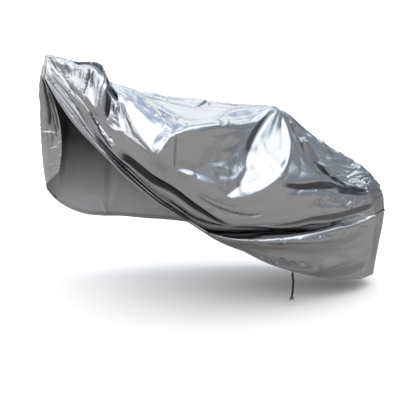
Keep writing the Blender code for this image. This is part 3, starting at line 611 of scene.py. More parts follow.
def pleat(gap):
    """A long flat side where the gap is negative, and a short one beyond the line."""
    return 1 - np.clip(np.where(gap < 0, -gap, gap / PLEAT_SHORT), 0, 1)


def window(values, low, high):
    """The slice of rising values that covers low to high."""
    first = max(int(np.searchsorted(values, low)) - 1, 0)
    return slice(first, int(np.searchsorted(values, high)) + 1)


def row_fold(row):
    """A fold from its row in a table."""
    places = np.array(row[1:7], float).reshape(3, 2)
    depth, shade = (row[9:] + (0,))[:2]
    return Fold(*places, row[7:9], depth, shade)


class Panel:
    """A grid of points in two directions, with the folds that are raised on it."""

    def __init__(self, surface, along, up, side):
        self.surface, self.along, self.up, self.side = surface, along, up, side
        self.points = surface(along, up)
        self.normals = outward(self.points, side)
        rows, cols = self.points.shape[:2]
        self.relief = np.zeros((rows, cols))
        self.shade = np.zeros((rows, cols))
        run = np.linalg.norm(np.diff(self.points, axis=0), axis=2)
        rise = np.linalg.norm(np.diff(self.points, axis=1), axis=2)
        # Lengths of cloth along from the first row, and up from the first column.
        self.way_along = np.vstack([np.zeros(cols), np.cumsum(run, axis=0)])
        self.way_up = np.column_stack([np.zeros(rows), np.cumsum(rise, axis=1)])

    def bow(self, fold):
        """Points of the fold's line on the smooth sheet."""
        t = np.linspace(0, 1, FOLD_STEPS + 1)[:, None]
        bend = 2 * fold.middle - (fold.start + fold.end) / 2
        places = (1 - t)**2 * fold.start + 2 * t * (1 - t) * bend + t**2 * fold.end
        order = np.argsort(places[:, 0], kind="stable")
        grid = self.surface(places[order, 0], places[:, 1])
        line = np.empty((len(places), 3))
        line[order] = grid[np.arange(len(places)), order]
        return places, line

    def raise_fold(self, fold, profile):
        places, line = self.bow(fold)
        reach = max(fold.wide) * FOLD_REACH
        rows, cols = [window(values, place.min() - spare, place.max() + spare)
                      for values, place, spare in (
                          (self.along, places[:, 0], reach / CLOTH_LENGTH + FOLD_MARGIN[0]),
                          (self.up, places[:, 1], reach / LEVEL_HEIGHT + FOLD_MARGIN[1]))]
        patch = self.points[rows, cols]
        facing = self.normals[rows, cols]
        best = np.full(patch.shape[:2], np.inf)
        place = np.zeros(patch.shape[:2])
        beyond = np.ones(patch.shape[:2])
        for index in range(FOLD_STEPS):
            run = line[index + 1] - line[index]
            offset = patch - line[index]
            share = np.clip(offset @ run / max(run @ run, 1e-12), 0, 1)
            gap = np.sum((offset - share[..., None] * run)**2, axis=2)
            closer = gap < best
            best[closer] = gap[closer]
            place[closer] = (index + share[closer]) / FOLD_STEPS
            if profile is pleat:
                across = np.sum(offset * np.cross(facing, run), axis=2)
                beyond[closer] = np.where(across[closer] < 0, -1, 1)
        taper = np.sin(np.pi * np.clip(place, *FOLD_TIPS))**0.5
        wide = ((fold.wide[0] + (fold.wide[1] - fold.wide[0]) * place)
                * (FOLD_END_WIDTH + (1 - FOLD_END_WIDTH) * taper))
        gap = np.sqrt(best) / wide
        self.relief[rows, cols] += fold.depth * profile(gap * beyond) * taper
        # Painted shade along the fold, darkest on its line, for the film's colour.
        dark = self.shade[rows, cols]
        np.maximum(dark, fold.shade * (1 - fade(gap - SHADE_FROM, SHADE_EDGE))
                   * fade(taper, SHADE_TAPER), out=dark)

    def scatter(self, crinkles, draw):
        """Small creases inside each patch, each with its own length, turn and depth."""
        lowest, highest = (self.along[0], self.up[0]), (self.along[-1], self.up[-1])
        for patch in crinkles:
            low, high = np.array(patch.first), np.array(patch.last)
            for _ in range(patch.count):
                middle = low + (high - low) * draw.random(2)
                turn = (patch.turn + patch.spread * draw.uniform(-1, 1)) * math.tau
                reach = patch.length * draw.uniform(*CRINKLE_LENGTHS) / 2
                step = np.array([math.cos(turn) * reach / CLOTH_LENGTH,
                                 math.sin(turn) * reach / LEVEL_HEIGHT])
                bend = step[::-1] * (CRINKLE_BEND * draw.uniform(-1, 1))
                bend = bend * (CRINKLE_BEND_ALONG, 1)
                depth = patch.depth * draw.uniform(*CRINKLE_DEPTHS) * draw.choice((-1, 1))
                wide = patch.wide * draw.uniform(*CRINKLE_WIDTHS)
                places = np.clip([middle - step, middle + bend, middle + step], lowest, highest)
                # Crinkles that go in get painted shade.
                self.raise_fold(Fold(*places, (wide * CRINKLE_START, wide), depth,
                                     DENT_SHADE if depth < 0 else 0), crease)

    def ripple(self, draw, height, lengths, count):
        """A slow unevenness of the film, from a few long waves."""
        bend = RIPPLE_BEND * np.sin(self.way_up * RIPPLE_RATES[0]
                                    + self.way_along * RIPPLE_RATES[1])
        for _ in range(count):
            turn = draw.uniform(0, math.tau)
            length = draw.uniform(*lengths)
            phase = (math.cos(turn) * self.way_along + math.sin(turn) * self.way_up) / length
            self.relief += height * length / lengths[1] * np.sin(
                math.tau * phase + draw.uniform(0, math.tau) + bend)

    def crumple(self, facets, draw):
        """Flat facets between crisp creases, where the film has been folded and shaken out."""
        heights = draw.normal(0, 1, (FACET_TABLE, FACET_TABLE))
        bend = facets.size * FACET_BEND
        along, up = [
            way + bend * np.sin(other / facets.size * rate + draw.uniform(0, FACET_SHIFT))
            for way, other, rate in ((self.way_along, self.way_up, FACET_WAVES[0]),
                                     (self.way_up, self.way_along, FACET_WAVES[1]))]
        lean, rise_by = math.cos(facets.turn), math.sin(facets.turn)
        run = (along * lean + up * rise_by) / (facets.size * facets.stretch)
        rise = (up * lean - along * rise_by) / facets.size
        first, second = run - rise / math.sqrt(3), 2 * rise / math.sqrt(3)
        i, j = np.floor(first).astype(int), np.floor(second).astype(int)
        part, rest = first - i, second - j
        corner = [[heights[(i + m) % FACET_TABLE, (j + n) % FACET_TABLE] for n in (0, 1)]
                  for m in (0, 1)]
        lower = corner[0][0] * (1 - part - rest) + corner[1][0] * part + corner[0][1] * rest
        upper = (corner[1][1] * (part + rest - 1) + corner[0][1] * (1 - part)
                 + corner[1][0] * (1 - rest))
        level = facets.height * np.where(part + rest < 1, lower, upper)
        for places, low, high, edge in zip((self.along[:, None], self.up[None, :]),
                                           facets.first, facets.last, FACET_EDGES):
            level = level * fade(places - low, edge) * fade(high - places, edge)
        self.relief += level

    def sew(self, way, running, draw):
        """A raised seam at `way` from the sewn edge, with puckers fading into the cloth."""
        height, place, width = SEAM_RIDGE
        self.relief += height * np.exp(-((way - place) / width)**2)
        phase = draw.uniform(0, math.tau, len(PUCKER_RATES))
        wave = sum(np.sin(running * rate + turn) for rate, turn in zip(PUCKER_RATES, phase)) / 2
        self.relief += (PUCKER_HEIGHT * wave * np.exp(-(way / PUCKER_REACH)**2)
                        * fade(way, PUCKER_FREE))

    def sew_edges(self, edges, hem_way, draw):
        """Seams along edges, each (way from it, way along it), and what the finish needs."""
        for way, running in edges:
            self.sew(way, running, draw)
        self.seam_way = np.minimum.reduce([way for way, running in edges])
        self.hem_way = hem_way

    def finish(self):
        return self.points + self.normals * self.relief[..., None]


# ---------------------------------------------------------------- panels
# Folds fade out towards the seams and edges, over these parts of a level, of `at` and of
# the gusset's width.
CALM_TOP = 0.30
CALM_EDGE = 0.02
NEAR_CALM_REAR = 0.015
CROWN_CALM = .06
# Everything raised on a panel.  folds: tables for soft, trench, crease and pleat.  waves:
# their height, the range of their lengths and their count.
Drape = namedtuple("Drape", "seed folds crinkles waves facets")
NEAR_DRAPE = Drape(11, (NEAR_SOFT, NEAR_TRENCH, NEAR_CREASE, NEAR_PLEAT), NEAR_CRINKLES,
                   (.0008, (.09, .26), 7), NEAR_FACETS)
FAR_DRAPE = Drape(23, (FAR_SOFT, (), FAR_CREASE, ()), FAR_CRINKLES,
                  (.0010, (.09, .26), 7), FAR_FACETS)
CROWN_DRAPE = Drape(37, (CROWN_SOFT, CROWN_TRENCH, CROWN_CREASE, ()), CROWN_CRINKLES,
                    (.0008, (.09, .22), 6), CROWN_FACETS)


def draped_panel(surface, along, up, side, drape):
    """A panel with its folds, and the draw that its seams go on with."""
    panel = Panel(surface, along, up, side)
    draw = np.random.default_rng(drape.seed)
    for rows, profile in zip(drape.folds, (soft, trench, crease, pleat)):
        for row in rows:
            panel.raise_fold(row_fold(row), profile)
    panel.scatter(drape.crinkles, draw)
    panel.ripple(draw, *drape.waves)
    for facets in drape.facets:
        panel.crumple(facets, draw)
    return panel, draw


def side_panel(surface, cells, level_cells, side, drape, calm_rear, front_sewn):
    """A side panel, sewn along the top and the rear, and along the front if front_sewn."""
    panel, draw = draped_panel(surface, np.linspace(0, 1, cells + 1),
                               level_samples(level_cells), side, drape)
    at, up = panel.along[:, None], panel.up[None, :]
    panel.relief *= fade(TOP_LEVEL - up, CALM_TOP) * fade(1 - at, calm_rear) * fade(at, CALM_EDGE)
    edges = [(panel.way_up[:, -1:] - panel.way_up, panel.way_along),
             (panel.way_along[-1:] - panel.way_along, panel.way_up)]
    if front_sewn:
        edges.append((panel.way_along, panel.way_up))
    panel.sew_edges(edges, panel.way_up, draw)
    return panel


def crown_panel():
    """The gusset, sewn along both its long edges."""
    ends = np.arange(1, CROWN_END_CELLS + 1) / CROWN_END_CELLS
    along = np.concatenate([-ends[::-1], np.linspace(0, 1, CROWN_ALONG + 1), 1 + ends])
    panel, draw = draped_panel(crown_surface, along, np.linspace(0, 1, CROWN_CELLS + 1), 1,
                               CROWN_DRAPE)
    across = panel.up[None, :]
    panel.relief *= fade(across, CROWN_CALM) * fade(1 - across, CROWN_CALM)
    panel.sew_edges([(way, panel.way_along)
                     for way in (panel.way_up, panel.way_up[:, -1:] - panel.way_up)],
                    np.minimum(panel.way_along, panel.way_along[-1:] - panel.way_along), draw)
    return panel


def pull_in(points, edge, inset):
    """Stop the sheet `inset` short of the seam along one edge of its grid."""
    rows = {"first": points, "last": points[::-1], "left": points.swapaxes(0, 1),
            "right": points.swapaxes(0, 1)[::-1]}[edge]
    rows[0] += unit(rows[1] - rows[0]) * inset


def turned_hem(points, normals, way):
    """Rows of the hem, turned up inside the panel below its first column."""
    inner = []
    for height, lay in HEM_ROWS:
        height, lay = height * HEM_TURN, lay * HEM_LAY
        rows = []
        for row, out, length in zip(points, normals, way):
            foot = [np.interp(max(height, 0), length, row[:, axis]) for axis in range(3)]
            down = unit(row[0] - row[1]) * max(-height, 0)
            rows.append(np.array(foot) - out[0] * lay + down)
        inner.append(rows)
    return np.array(inner).swapaxes(0, 1)


def place_piece(name, data, material, smooth=True):
    """An object in the scene from its mesh."""
    if smooth:
        data.polygons.foreach_set("use_smooth", np.ones(len(data.polygons), bool))
    data.materials.append(material)
    piece = bpy.data.objects.new(name, data)
    bpy.context.scene.collection.objects.link(piece)
    return piece


def mesh_data(name, mesh):
    """Mesh data from a bmesh, which is freed."""
    data = bpy.data.meshes.new(name)
    mesh.to_mesh(data)
    mesh.free()
    return data


def cloth_mesh(name, points, fields, flip, material):
    """A grid of points as one sheet, with its cloth lengths kept for the finish."""
    rows, cols = points.shape[:2]
    number = np.arange(rows * cols).reshape(rows, cols)
    a, b, c, d = number[:-1, :-1], number[:-1, 1:], number[1:, 1:], number[1:, :-1]
    faces = np.stack([a, b, c, d] if flip else [a, d, c, b], axis=-1).reshape(-1, 4)
    data = bpy.data.meshes.new(name)
    data.from_pydata((points - np.array(HANG_POINT)).reshape(-1, 3).tolist(), [], faces.tolist())
    for field, values in fields.items():
        layer = data.attributes.new(field, "FLOAT", "POINT")
        layer.data.foreach_set("value", values.astype(np.float32).ravel())
    lengths = np.stack([fields["cloth_along"], fields["cloth_up"]], axis=-1).reshape(-1, 2)
    uv = data.uv_layers.new(name="cloth")
    uv.data.foreach_set("uv", lengths[faces.ravel()].astype(np.float32).ravel())
    piece = place_piece(name, data, material)
    data.update()
    return piece


def with_hem(points, panel, fields):
    """The sheet and its fields with the turned hem's rows added below the hem."""
    hem = turned_hem(points, outward(points, panel.side), panel.way_up)
    count = hem.shape[1]
    longer = {}
    for field, values in fields.items():
        first = values[:, :1]
        added = np.repeat(first, count, axis=1)
        if field == "cloth_up":
            added = first - np.linspace(HEM_TURN, HEM_FOOT, count)[None, :]
        if field == "hem_way":
            added = np.repeat(first + HEM_TURN, count, axis=1)
        longer[field] = np.concatenate([added, values], axis=1)
    return np.concatenate([hem, points], axis=1), longer


def panel_piece(name, panel, insets, material, flip=False, hemmed=True):
    """A panel as a piece of cloth; insets says how far each sewn edge is pulled in."""
    points = panel.finish()
    for edge, inset in insets.items():
        pull_in(points, edge, inset)
    # fold_shade carries the folds' painted shade to the film's colour.
    fields = {"cloth_along": panel.way_along, "cloth_up": panel.way_up,
              "fold_shade": np.clip(panel.shade, 0, 1), "seam_way": panel.seam_way,
              "hem_way": panel.hem_way}
    if hemmed:
        points, fields = with_hem(points, panel, fields)
    return cloth_mesh(name, points, fields, flip, material)


# ---------------------------------------------------------------- strap, tab and clip
# These are placed in the part's own frame.
STRAP_ROUTE = (
    (.0788, -.1274, -.6979), (.0800, -.1231, -.7138), (.0819, -.1264, -.7313),
    (.0828, -.1260, -.7480), (.0828, -.1255, -.7647), (.0821, -.1249, -.7812),
    (.0807, -.1244, -.7977), (.0790, -.1238, -.8142),
)
STRAP_WIDTH = 0.010
STRAP_THICK = 0.0014
STRAP_RINGS = 72
STRAP_TWIST = 0.30                       # radians, back and forth along it
STRAP_TWIST_WAVE = 1.6                   # half waves of that from end to end
TAPE_SIDE = (0.9959, -0.0396, -0.0811)   # across the tape, along the hem
TAPE_CORNERS = 12                        # of its cross-section
TAPE_ROUNDING = (.35, .8)                # powers that round it, across and through
TAB_RISE_WAY = (0.0567, -0.4251, 0.9034)
TAB_FOOT = (0.0792, -0.1287, -0.6915)
TAB_OUT = (-0.0703, -0.9043, -0.4211)
TAB_WIDTH = 0.016
TAB_THICK = 0.0010
TAB_TOP = 0.022
TAB_BOTTOM = -0.006
TAB_ROWS = 25
TAB_STAND_OFF = .0015                    # its middle layer, out from TAB_FOOT
TAB_WAVE = (.0004, 300)                  # height and rate of its unevenness
# The clip's parts as half outlines from the middle, (across, down), with their thickness.
CLIP_BODY = ((.0000, .0000), (.0070, .0000), (.0078, .0010), (.0078, .0070), (.0088, .0100),
             (.0060, .0100), (.0046, .0088), (.0014, .0088), (.0000, .0088))
CLIP_PRONG = ((.0060, .0092), (.0088, .0092), (.0090, .0135), (.0070, .0188), (.0054, .0190),
              (.0056, .0140))
CLIP_TONGUE = ((.0000, .0080), (.0014, .0080), (.0014, .0160), (.0000, .0170))
CLIP_SLOT = ((-.0052, .0022), (.0052, .0022), (.0052, .0042), (-.0052, .0042))
CLIP_PARTS = (("body", CLIP_BODY, True, .0035), ("prong", CLIP_PRONG, False, .0030),
              ("tongue", CLIP_TONGUE, True, .0022))
CLIP_BEVEL = .0004
CLIP_GAP = .0003                         # below the strap's end
CLIP_JOIN = 1e-5                         # points nearer than this are one


def rounded(value, power):
    return math.copysign(abs(value)**power, value)


def tape_mesh(name, line, sides, width, thick, material):
    """A closed woven tape along a line; sides gives the way across it at each point."""
    mesh = bmesh.new()
    turns = [math.tau * step / TAPE_CORNERS for step in range(TAPE_CORNERS)]
    ring = [(width / 2 * rounded(math.cos(turn), TAPE_ROUNDING[0]),
             thick / 2 * rounded(math.sin(turn), TAPE_ROUNDING[1])) for turn in turns]
    place = mesh.verts.layers.float.new("cloth_up")
    cross = mesh.verts.layers.float.new("cloth_along")
    runs = unit(np.gradient(line, axis=0))
    lengths = np.concatenate([[0], np.cumsum(np.linalg.norm(np.diff(line, axis=0), axis=1))])
    rings = []
    for point, run, side, length in zip(line, runs, sides, lengths):
        side = unit(side - run * (side @ run))
        face = np.cross(run, side)
        verts = []
        for across, out in ring:
            vert = mesh.verts.new(Vector(point + side * across + face * out))
            vert[place], vert[cross] = length, across
            verts.append(vert)
        rings.append(verts)
    for lower, upper in zip(rings, rings[1:]):
        for corners in zip(lower, lower[1:] + lower[:1], upper[1:] + upper[:1], upper):
            mesh.faces.new(corners)
    mesh.faces.new(rings[0][::-1])
    mesh.faces.new(rings[-1])
    bmesh.ops.recalc_face_normals(mesh, faces=mesh.faces)
    return place_piece(name, mesh_data(name, mesh), material)


def strap_piece(material):
    share = np.linspace(0, 1, STRAP_RINGS + 1)
    line = through_rows(np.linspace(0, 1, len(STRAP_ROUTE)), STRAP_ROUTE, share)
    twist = (STRAP_TWIST * np.sin(share * np.pi * STRAP_TWIST_WAVE))[:, None]
    sides = np.cos(twist) * np.array(TAPE_SIDE) + np.sin(twist) * np.array(TAB_OUT)
    return tape_mesh("cover_hem_strap", line, sides, STRAP_WIDTH, STRAP_THICK, material), line


def tab_piece(material):
    rows = np.linspace(TAB_BOTTOM, TAB_TOP, TAB_ROWS)
    stand_off = TAB_STAND_OFF + TAB_WAVE[0] * np.sin((rows - TAB_BOTTOM) * TAB_WAVE[1])
    line = (np.array(TAB_FOOT) + rows[:, None] * np.array(TAB_RISE_WAY)
            + stand_off[:, None] * np.array(TAB_OUT))
    sides = np.repeat([TAPE_SIDE], len(rows), axis=0)
    return tape_mesh("cover_strap_tab", line, sides, TAB_WIDTH, TAB_THICK, material)


def clip_curve(outlines, thick):
    curve = bpy.data.curves.new("clip outline", "CURVE")
    curve.dimensions = "2D"
    curve.fill_mode = "BOTH"
    curve.extrude = thick / 2 - CLIP_BEVEL
    curve.bevel_depth = CLIP_BEVEL
    curve.bevel_resolution = 2
    curve.offset = -CLIP_BEVEL
    for outline in outlines:
        spline = curve.splines.new("POLY")
        spline.points.add(len(outline) - 1)
        for point, (x, z) in zip(spline.points, outline):
            point.co = (x, z, 0, 1)
        spline.use_cyclic_u = True
    return curve


def clip_piece(end, material):
    """The loose half of a side-release clip: a slotted body, two prongs and a tongue."""
    mesh = bmesh.new()
    for part, half, mirrored, thick in CLIP_PARTS:
        right = [(x, -z) for x, z in half]
        left = [(-x, z) for x, z in right]
        outlines = [right + [p for p in left[::-1] if p[0] < 0]] if mirrored else [right, left]
        if part == "body":
            outlines.append([(x, -z) for x, z in CLIP_SLOT])
        holder = bpy.data.objects.new("clip outline", clip_curve(outlines, thick))
        bpy.context.scene.collection.objects.link(holder)
        bpy.context.view_layer.update()
        mesh.from_mesh(holder.evaluated_get(bpy.context.evaluated_depsgraph_get()).to_mesh())
        bpy.data.objects.remove(holder, do_unlink=True)
    bmesh.ops.remove_doubles(mesh, verts=mesh.verts, dist=CLIP_JOIN)
    turn = math.atan2(TAPE_SIDE[1], TAPE_SIDE[0])
    base = Vector(end) - Vector((0, 0, STRAP_THICK / 2 + CLIP_GAP))
    for vert in mesh.verts:
        x, z, y = vert.co
        vert.co = base + Vector((x * math.cos(turn) + y * math.sin(turn),
                                 x * math.sin(turn) - y * math.cos(turn), z))
    bmesh.ops.recalc_face_normals(mesh, faces=mesh.faces)
    name = "cover_strap_clip"
    return place_piece(name, mesh_data(name, mesh), material, smooth=False)


# ---------------------------------------------------------------- shader node groups
FILM_WARP = .03                        # how far crinkles wander, and the scale of that
FILM_WARP_SCALE = 14.0
FILM_GRAIN = .35                       # strength of the fine grain, of the crinkles
FILM_GRAIN_SCALE = 160.0
FILM_PATCH_SCALE = 5.0                 # crinkled and calmer patches
STITCH_SUNK = .35                      # part of a stitch's arch that is inside the cloth
STITCH_EDGE = 4.0                      # sharpness of the mask's edge
SCUFF_SQUEEZE = .25                    # of the second direction: scuffs are longer that way
SCUFF_RANGE = (.58, .75)               # of the noise, from clean to scuffed
TAPE_THREAD = .00016                   # threads lie 2 pi times this apart
TAPE_THREAD_HEIGHT = .35               # of the ribs' height
MIX_SOCKETS = {"RGBA": ((0, 6, 7), 2), "FLOAT": ((0, 2, 3), 0)}   # its inputs and its output
SOCKET_KINDS = {"Place": "Vector", "Color": "Color", "Dirt Color": "Color"}   # the rest: Float


class Nodes:
    """Short calls for building a node tree."""

    def __init__(self, tree):
        self.tree = tree

    def add(self, kind, settings=(), **inputs):
        node = self.tree.nodes.new(kind)
        for name, value in dict(settings).items():
            setattr(node, name, value)
        return self.fill(node, **inputs)

    def feed(self, socket, value):
        if isinstance(value, bpy.types.NodeSocket):
            self.tree.links.new(value, socket)
        else:
            socket.default_value = value

    def fill(self, node, **inputs):
        """Feed a node's inputs by their names, with underscores for spaces."""
        for name, value in inputs.items():
            self.feed(node.inputs[name.replace("_", " ")], value)
        return node

    def math(self, work, *values, kind="ShaderNodeMath"):
        node = self.add(kind, {"operation": work})
        for socket, value in zip(node.inputs, values):
            self.feed(socket, value)
        return node.outputs[0]

    def vector(self, work, *values):
        return self.math(work, *values, kind="ShaderNodeVectorMath")

    def mix(self, *values, kind="RGBA"):
        node = self.add("ShaderNodeMix", {"data_type": kind})
        places, result = MIX_SOCKETS[kind]
        for place, value in zip(places, values):
            self.feed(node.inputs[place], value)
        return node.outputs[result]

    def span(self, value, low, high, kind="LINEAR"):
        """A ramp of value: 0 at low and 1 at high."""
        return self.add("ShaderNodeMapRange", {"interpolation_type": kind}, Value=value,
                        From_Min=low, From_Max=high).outputs[0]

    def field(self, name):
        return self.add("ShaderNodeAttribute", {"attribute_name": name}).outputs["Fac"]

    def noise(self, place, scale, detail, roughness=.55):
        return self.add("ShaderNodeTexNoise", Vector=place, Scale=scale, Detail=detail,
                        Roughness=roughness).outputs["Fac"]

    def object_place(self):
        return self.add("ShaderNodeTexCoord").outputs["Object"]

    def by_camera(self):
        return self.add("ShaderNodeLightPath").outputs["Is Camera Ray"]

    def bump(self, height, strength, distance):
        return self.add("ShaderNodeBump", Height=height, Strength=strength,
                        Distance=distance).outputs[0]

    def group(self, name, **inputs):
        tree = bpy.data.node_groups[name]
        return self.add("ShaderNodeGroup", {"node_tree": tree}, **inputs).outputs


def node_group(name, inputs, outputs):
    """An empty group with named sockets: its nodes, what it is given and its output node."""
    tree = bpy.data.node_groups.new(name, "ShaderNodeTree")
    for side, titles in (("INPUT", inputs), ("OUTPUT", outputs)):
        for title in titles:
            kind = SOCKET_KINDS.get(title, "Float")
            tree.interface.new_socket(title, in_out=side, socket_type="NodeSocket" + kind)
    nodes = Nodes(tree)
    return nodes, nodes.add("NodeGroupInput").outputs, nodes.add("NodeGroupOutput")


def film_relief_group():
    """Fine crinkles of coated film and the weave of its backing, as a height."""
    nodes, given, result = node_group(
        "film relief", ("Place", "Crinkle Scale", "Crinkle Height", "Weave Scale", "Weave Height"),
        ("Height",))
    place = given["Place"]
    bent = nodes.add("ShaderNodeTexNoise", Vector=place, Scale=FILM_WARP_SCALE,
                     Detail=2.0).outputs["Color"]
    warped = nodes.vector("MULTIPLY_ADD", bent, (FILM_WARP,) * 3, place)
    cells = nodes.add("ShaderNodeTexVoronoi", {"feature": "F1"}, Vector=warped,
                      Scale=given["Crinkle Scale"]).outputs["Distance"]
    grain = nodes.noise(place, FILM_GRAIN_SCALE, 4.0)
    patches = nodes.noise(place, FILM_PATCH_SCALE, 2.0)
    strength = nodes.math("MULTIPLY", nodes.math("POWER", patches, 2.0), given["Crinkle Height"])
    crinkle = nodes.math("MULTIPLY", nodes.math("MULTIPLY_ADD", grain, FILM_GRAIN, cells), strength)
    warp, weft = [nodes.add("ShaderNodeTexWave", {"bands_direction": way}, Vector=place,
                            Scale=given["Weave Scale"]).outputs["Fac"] for way in "XY"]
    weave = nodes.math("MULTIPLY", nodes.math("MULTIPLY", warp, weft), given["Weave Height"])
    nodes.fill(result, Height=nodes.math("ADD", crinkle, weave))


def stitch_group():
    """A row of stitches at a set way from an edge."""
    nodes, given, result = node_group(
        "stitch row", ("Along", "From Edge", "Row At", "Pitch", "Thread"), ("Mask", "Height"))
    off = nodes.math("ABSOLUTE", nodes.math("SUBTRACT", given["From Edge"], given["Row At"]))
    line = nodes.math("SUBTRACT", 1.0, nodes.math("DIVIDE", off, given["Thread"]))
    line = nodes.math("MAXIMUM", line, 0.0)
    step = nodes.math("FRACT", nodes.math("DIVIDE", given["Along"], given["Pitch"]))
    lump = nodes.math("SINE", nodes.math("MULTIPLY", step, math.pi))
    lump = nodes.math("MAXIMUM", nodes.math("SUBTRACT", lump, STITCH_SUNK), 0.0)
    height = nodes.math("MULTIPLY", line, lump)
    mask = nodes.math("MINIMUM", nodes.math("MULTIPLY", height, STITCH_EDGE), 1.0)
    nodes.fill(result, Height=height, Mask=mask)


def wear_group():
    """Slow uneven dulling of a finish, and fine scuffs, as masks."""
    nodes, given, result = node_group("wear", ("Place", "Patch Scale", "Scuff Scale"),
                                      ("Patches", "Scuffs"))
    patches = nodes.noise(given["Place"], given["Patch Scale"], 4.0)
    stretched = nodes.vector("MULTIPLY", given["Place"], (1.0, SCUFF_SQUEEZE, 1.0))
    scuffs = nodes.noise(stretched, given["Scuff Scale"], 5.0, .7)
    nodes.fill(result, Patches=patches, Scuffs=nodes.span(scuffs, *SCUFF_RANGE))


def painted_fold_shade_group():
    """Painted shade: darkens a colour in the bottoms of folds, where shade falls."""
    nodes, given, result = node_group("painted fold shade", ("Color", "Dirt Color", "Shade", "Amount"),
                                      ("Color",))
    factor = nodes.math("MULTIPLY", given["Shade"], given["Amount"])
    nodes.fill(result, Color=nodes.mix(factor, given["Color"], given["Dirt Color"]))


def tape_weave_group():
    """Ribs of a narrow woven tape, as a height and a mask."""
    nodes, given, result = node_group("tape weave", ("Along", "Across", "Rib"),
                                      ("Height", "Mask"))
    slant = nodes.math("ABSOLUTE", given["Across"])
    turns = nodes.math("DIVIDE", nodes.math("ADD", given["Along"], slant), given["Rib"])
    ribs = nodes.math("SINE", nodes.math("MULTIPLY", turns, math.tau))
    fine = nodes.math("SINE", nodes.math("DIVIDE", given["Across"], TAPE_THREAD))
    height = nodes.math("MULTIPLY_ADD", fine, TAPE_THREAD_HEIGHT, ribs)
    nodes.fill(result, Height=height, Mask=nodes.math("MULTIPLY_ADD", height, .35, .5))


# ---------------------------------------------------------------- materials
FILM_COLOUR = (.57, .572, .575, 1)
FILM_WORN = (.53, .53, .532, 1)
# Painted shade: the film's colour in the bottoms of folds, and how far it goes there.
FILM_PAINTED_SHADE = (.012, .012, .014, 1)
FILM_PAINTED_SHADE_AMOUNT = .92
THREAD_COLOUR = (.60, .60, .60, 1)
INSIDE_COLOUR = (.58, .58, .57, 1)
INSIDE_DEEP = (.07, .07, .072, 1)      # higher up under the cover, away from the light
INSIDE_DEEP_FROM, INSIDE_DEEP_TO = .09, .40   # lengths of cloth above the hem
INSIDE_ROUGHNESS = .62
FILM_ROUGHNESS = .17                   # and what scuffs, dull patches and thread add to it
SCUFF_ROUGHNESS, PATCH_ROUGHNESS, THREAD_ROUGHNESS = .06, .08, .30
THREAD_SHOWS = .6                      # how much of its colour shows
STITCH_HEIGHT = .5
SEAM_ROW, HEM_ROW = .0075, .0165       # rows of stitches, from the edge
STITCH = {"Pitch": .0036, "Thread": .0008}
STRAP_COLOUR = (.012, .012, .013, 1)
TAB_COLOUR = (.50, .50, .50, 1)
PLASTIC_COLOUR = (.012, .012, .013, 1)
PLASTIC_SCUFFED = (.035, .035, .037, 1)
PLASTIC_ROUGHNESS, PLASTIC_PATCHES = .25, .25
PLASTIC_GRAIN_SCALE = 2600.0
TAPE_SCUFFED = .5                      # how far scuffs lighten a tape


def new_material(name):
    material = bpy.data.materials.new(name)
    material.use_nodes = True
    nodes = Nodes(material.node_tree)
    return material, nodes, material.node_tree.nodes["Principled BSDF"]


def lightened(colour, lift):
    return tuple(value * lift for value in colour[:3]) + (1,)


def film_material():
    """Silver coated film: bright outside, dull grey inside, with painted shade in its folds and
    higher up inside.
    """
    material, nodes, shader = new_material("silver film cloth")
    place = nodes.add("ShaderNodeUVMap", {"uv_map": "cloth"}).outputs[0]
    relief = nodes.group("film relief", Place=place, Crinkle_Scale=42.0, Crinkle_Height=1.0,
                         Weave_Scale=420.0, Weave_Height=.02)
    wear = nodes.group("wear", Place=place, Patch_Scale=4.0, Scuff_Scale=60.0)
    seam, hem = [nodes.group("stitch row", Along=nodes.field("cloth_along"),
                             From_Edge=nodes.field(edge), Row_At=row, **STITCH)
                 for edge, row in (("seam_way", SEAM_ROW), ("hem_way", HEM_ROW))]
    inside = nodes.add("ShaderNodeNewGeometry").outputs["Backfacing"]
    stitches = nodes.math("MAXIMUM", seam["Mask"], hem["Mask"])
    colour = nodes.mix(wear["Patches"], FILM_COLOUR, FILM_WORN)
    colour = nodes.mix(nodes.math("MULTIPLY", stitches, THREAD_SHOWS), colour, THREAD_COLOUR)
    # Painted shade in the bottoms of folds, from the fold_shade field.
    colour = nodes.group("painted fold shade", Color=colour, Dirt_Color=FILM_PAINTED_SHADE,
                         Shade=nodes.field("fold_shade"), Amount=FILM_PAINTED_SHADE_AMOUNT)["Color"]
    deep = nodes.span(nodes.field("cloth_up"), INSIDE_DEEP_FROM, INSIDE_DEEP_TO)
    inner = nodes.mix(deep, INSIDE_COLOUR, INSIDE_DEEP)
    dull = nodes.math("MULTIPLY_ADD", wear["Scuffs"], SCUFF_ROUGHNESS, FILM_ROUGHNESS)
    dull = nodes.math("MULTIPLY_ADD", wear["Patches"], PATCH_ROUGHNESS, dull)
    dull = nodes.math("MULTIPLY_ADD", stitches, THREAD_ROUGHNESS, dull)
    stitch_height = nodes.math("ADD", seam["Height"], hem["Height"])
    height = nodes.math("MULTIPLY_ADD", stitch_height, STITCH_HEIGHT, relief["Height"])
    nodes.fill(shader, Base_Color=nodes.mix(inside, colour, inner),
               Roughness=nodes.mix(inside, dull, INSIDE_ROUGHNESS, kind="FLOAT"),
               Metallic=nodes.math("SUBTRACT", 1.0, inside),
               Normal=nodes.bump(height, strength=.5, distance=.0022))
    return material


def tape_material(name, colour, lift, roughness):
    material, nodes, shader = new_material(name)
    weave = nodes.group("tape weave", Along=nodes.field("cloth_up"),
                        Across=nodes.field("cloth_along"), Rib=.0012)
    wear = nodes.group("wear", Place=nodes.object_place(), Patch_Scale=60.0, Scuff_Scale=900.0)
    light = lightened(colour, lift)
    shade = nodes.mix(weave["Mask"], colour, light)
    scuffed = nodes.mix(nodes.math("MULTIPLY", wear["Scuffs"], TAPE_SCUFFED), shade, light)
    nodes.fill(shader, Base_Color=scuffed, Roughness=roughness,
               Normal=nodes.bump(weave["Height"], strength=.6, distance=.0002))
    return material


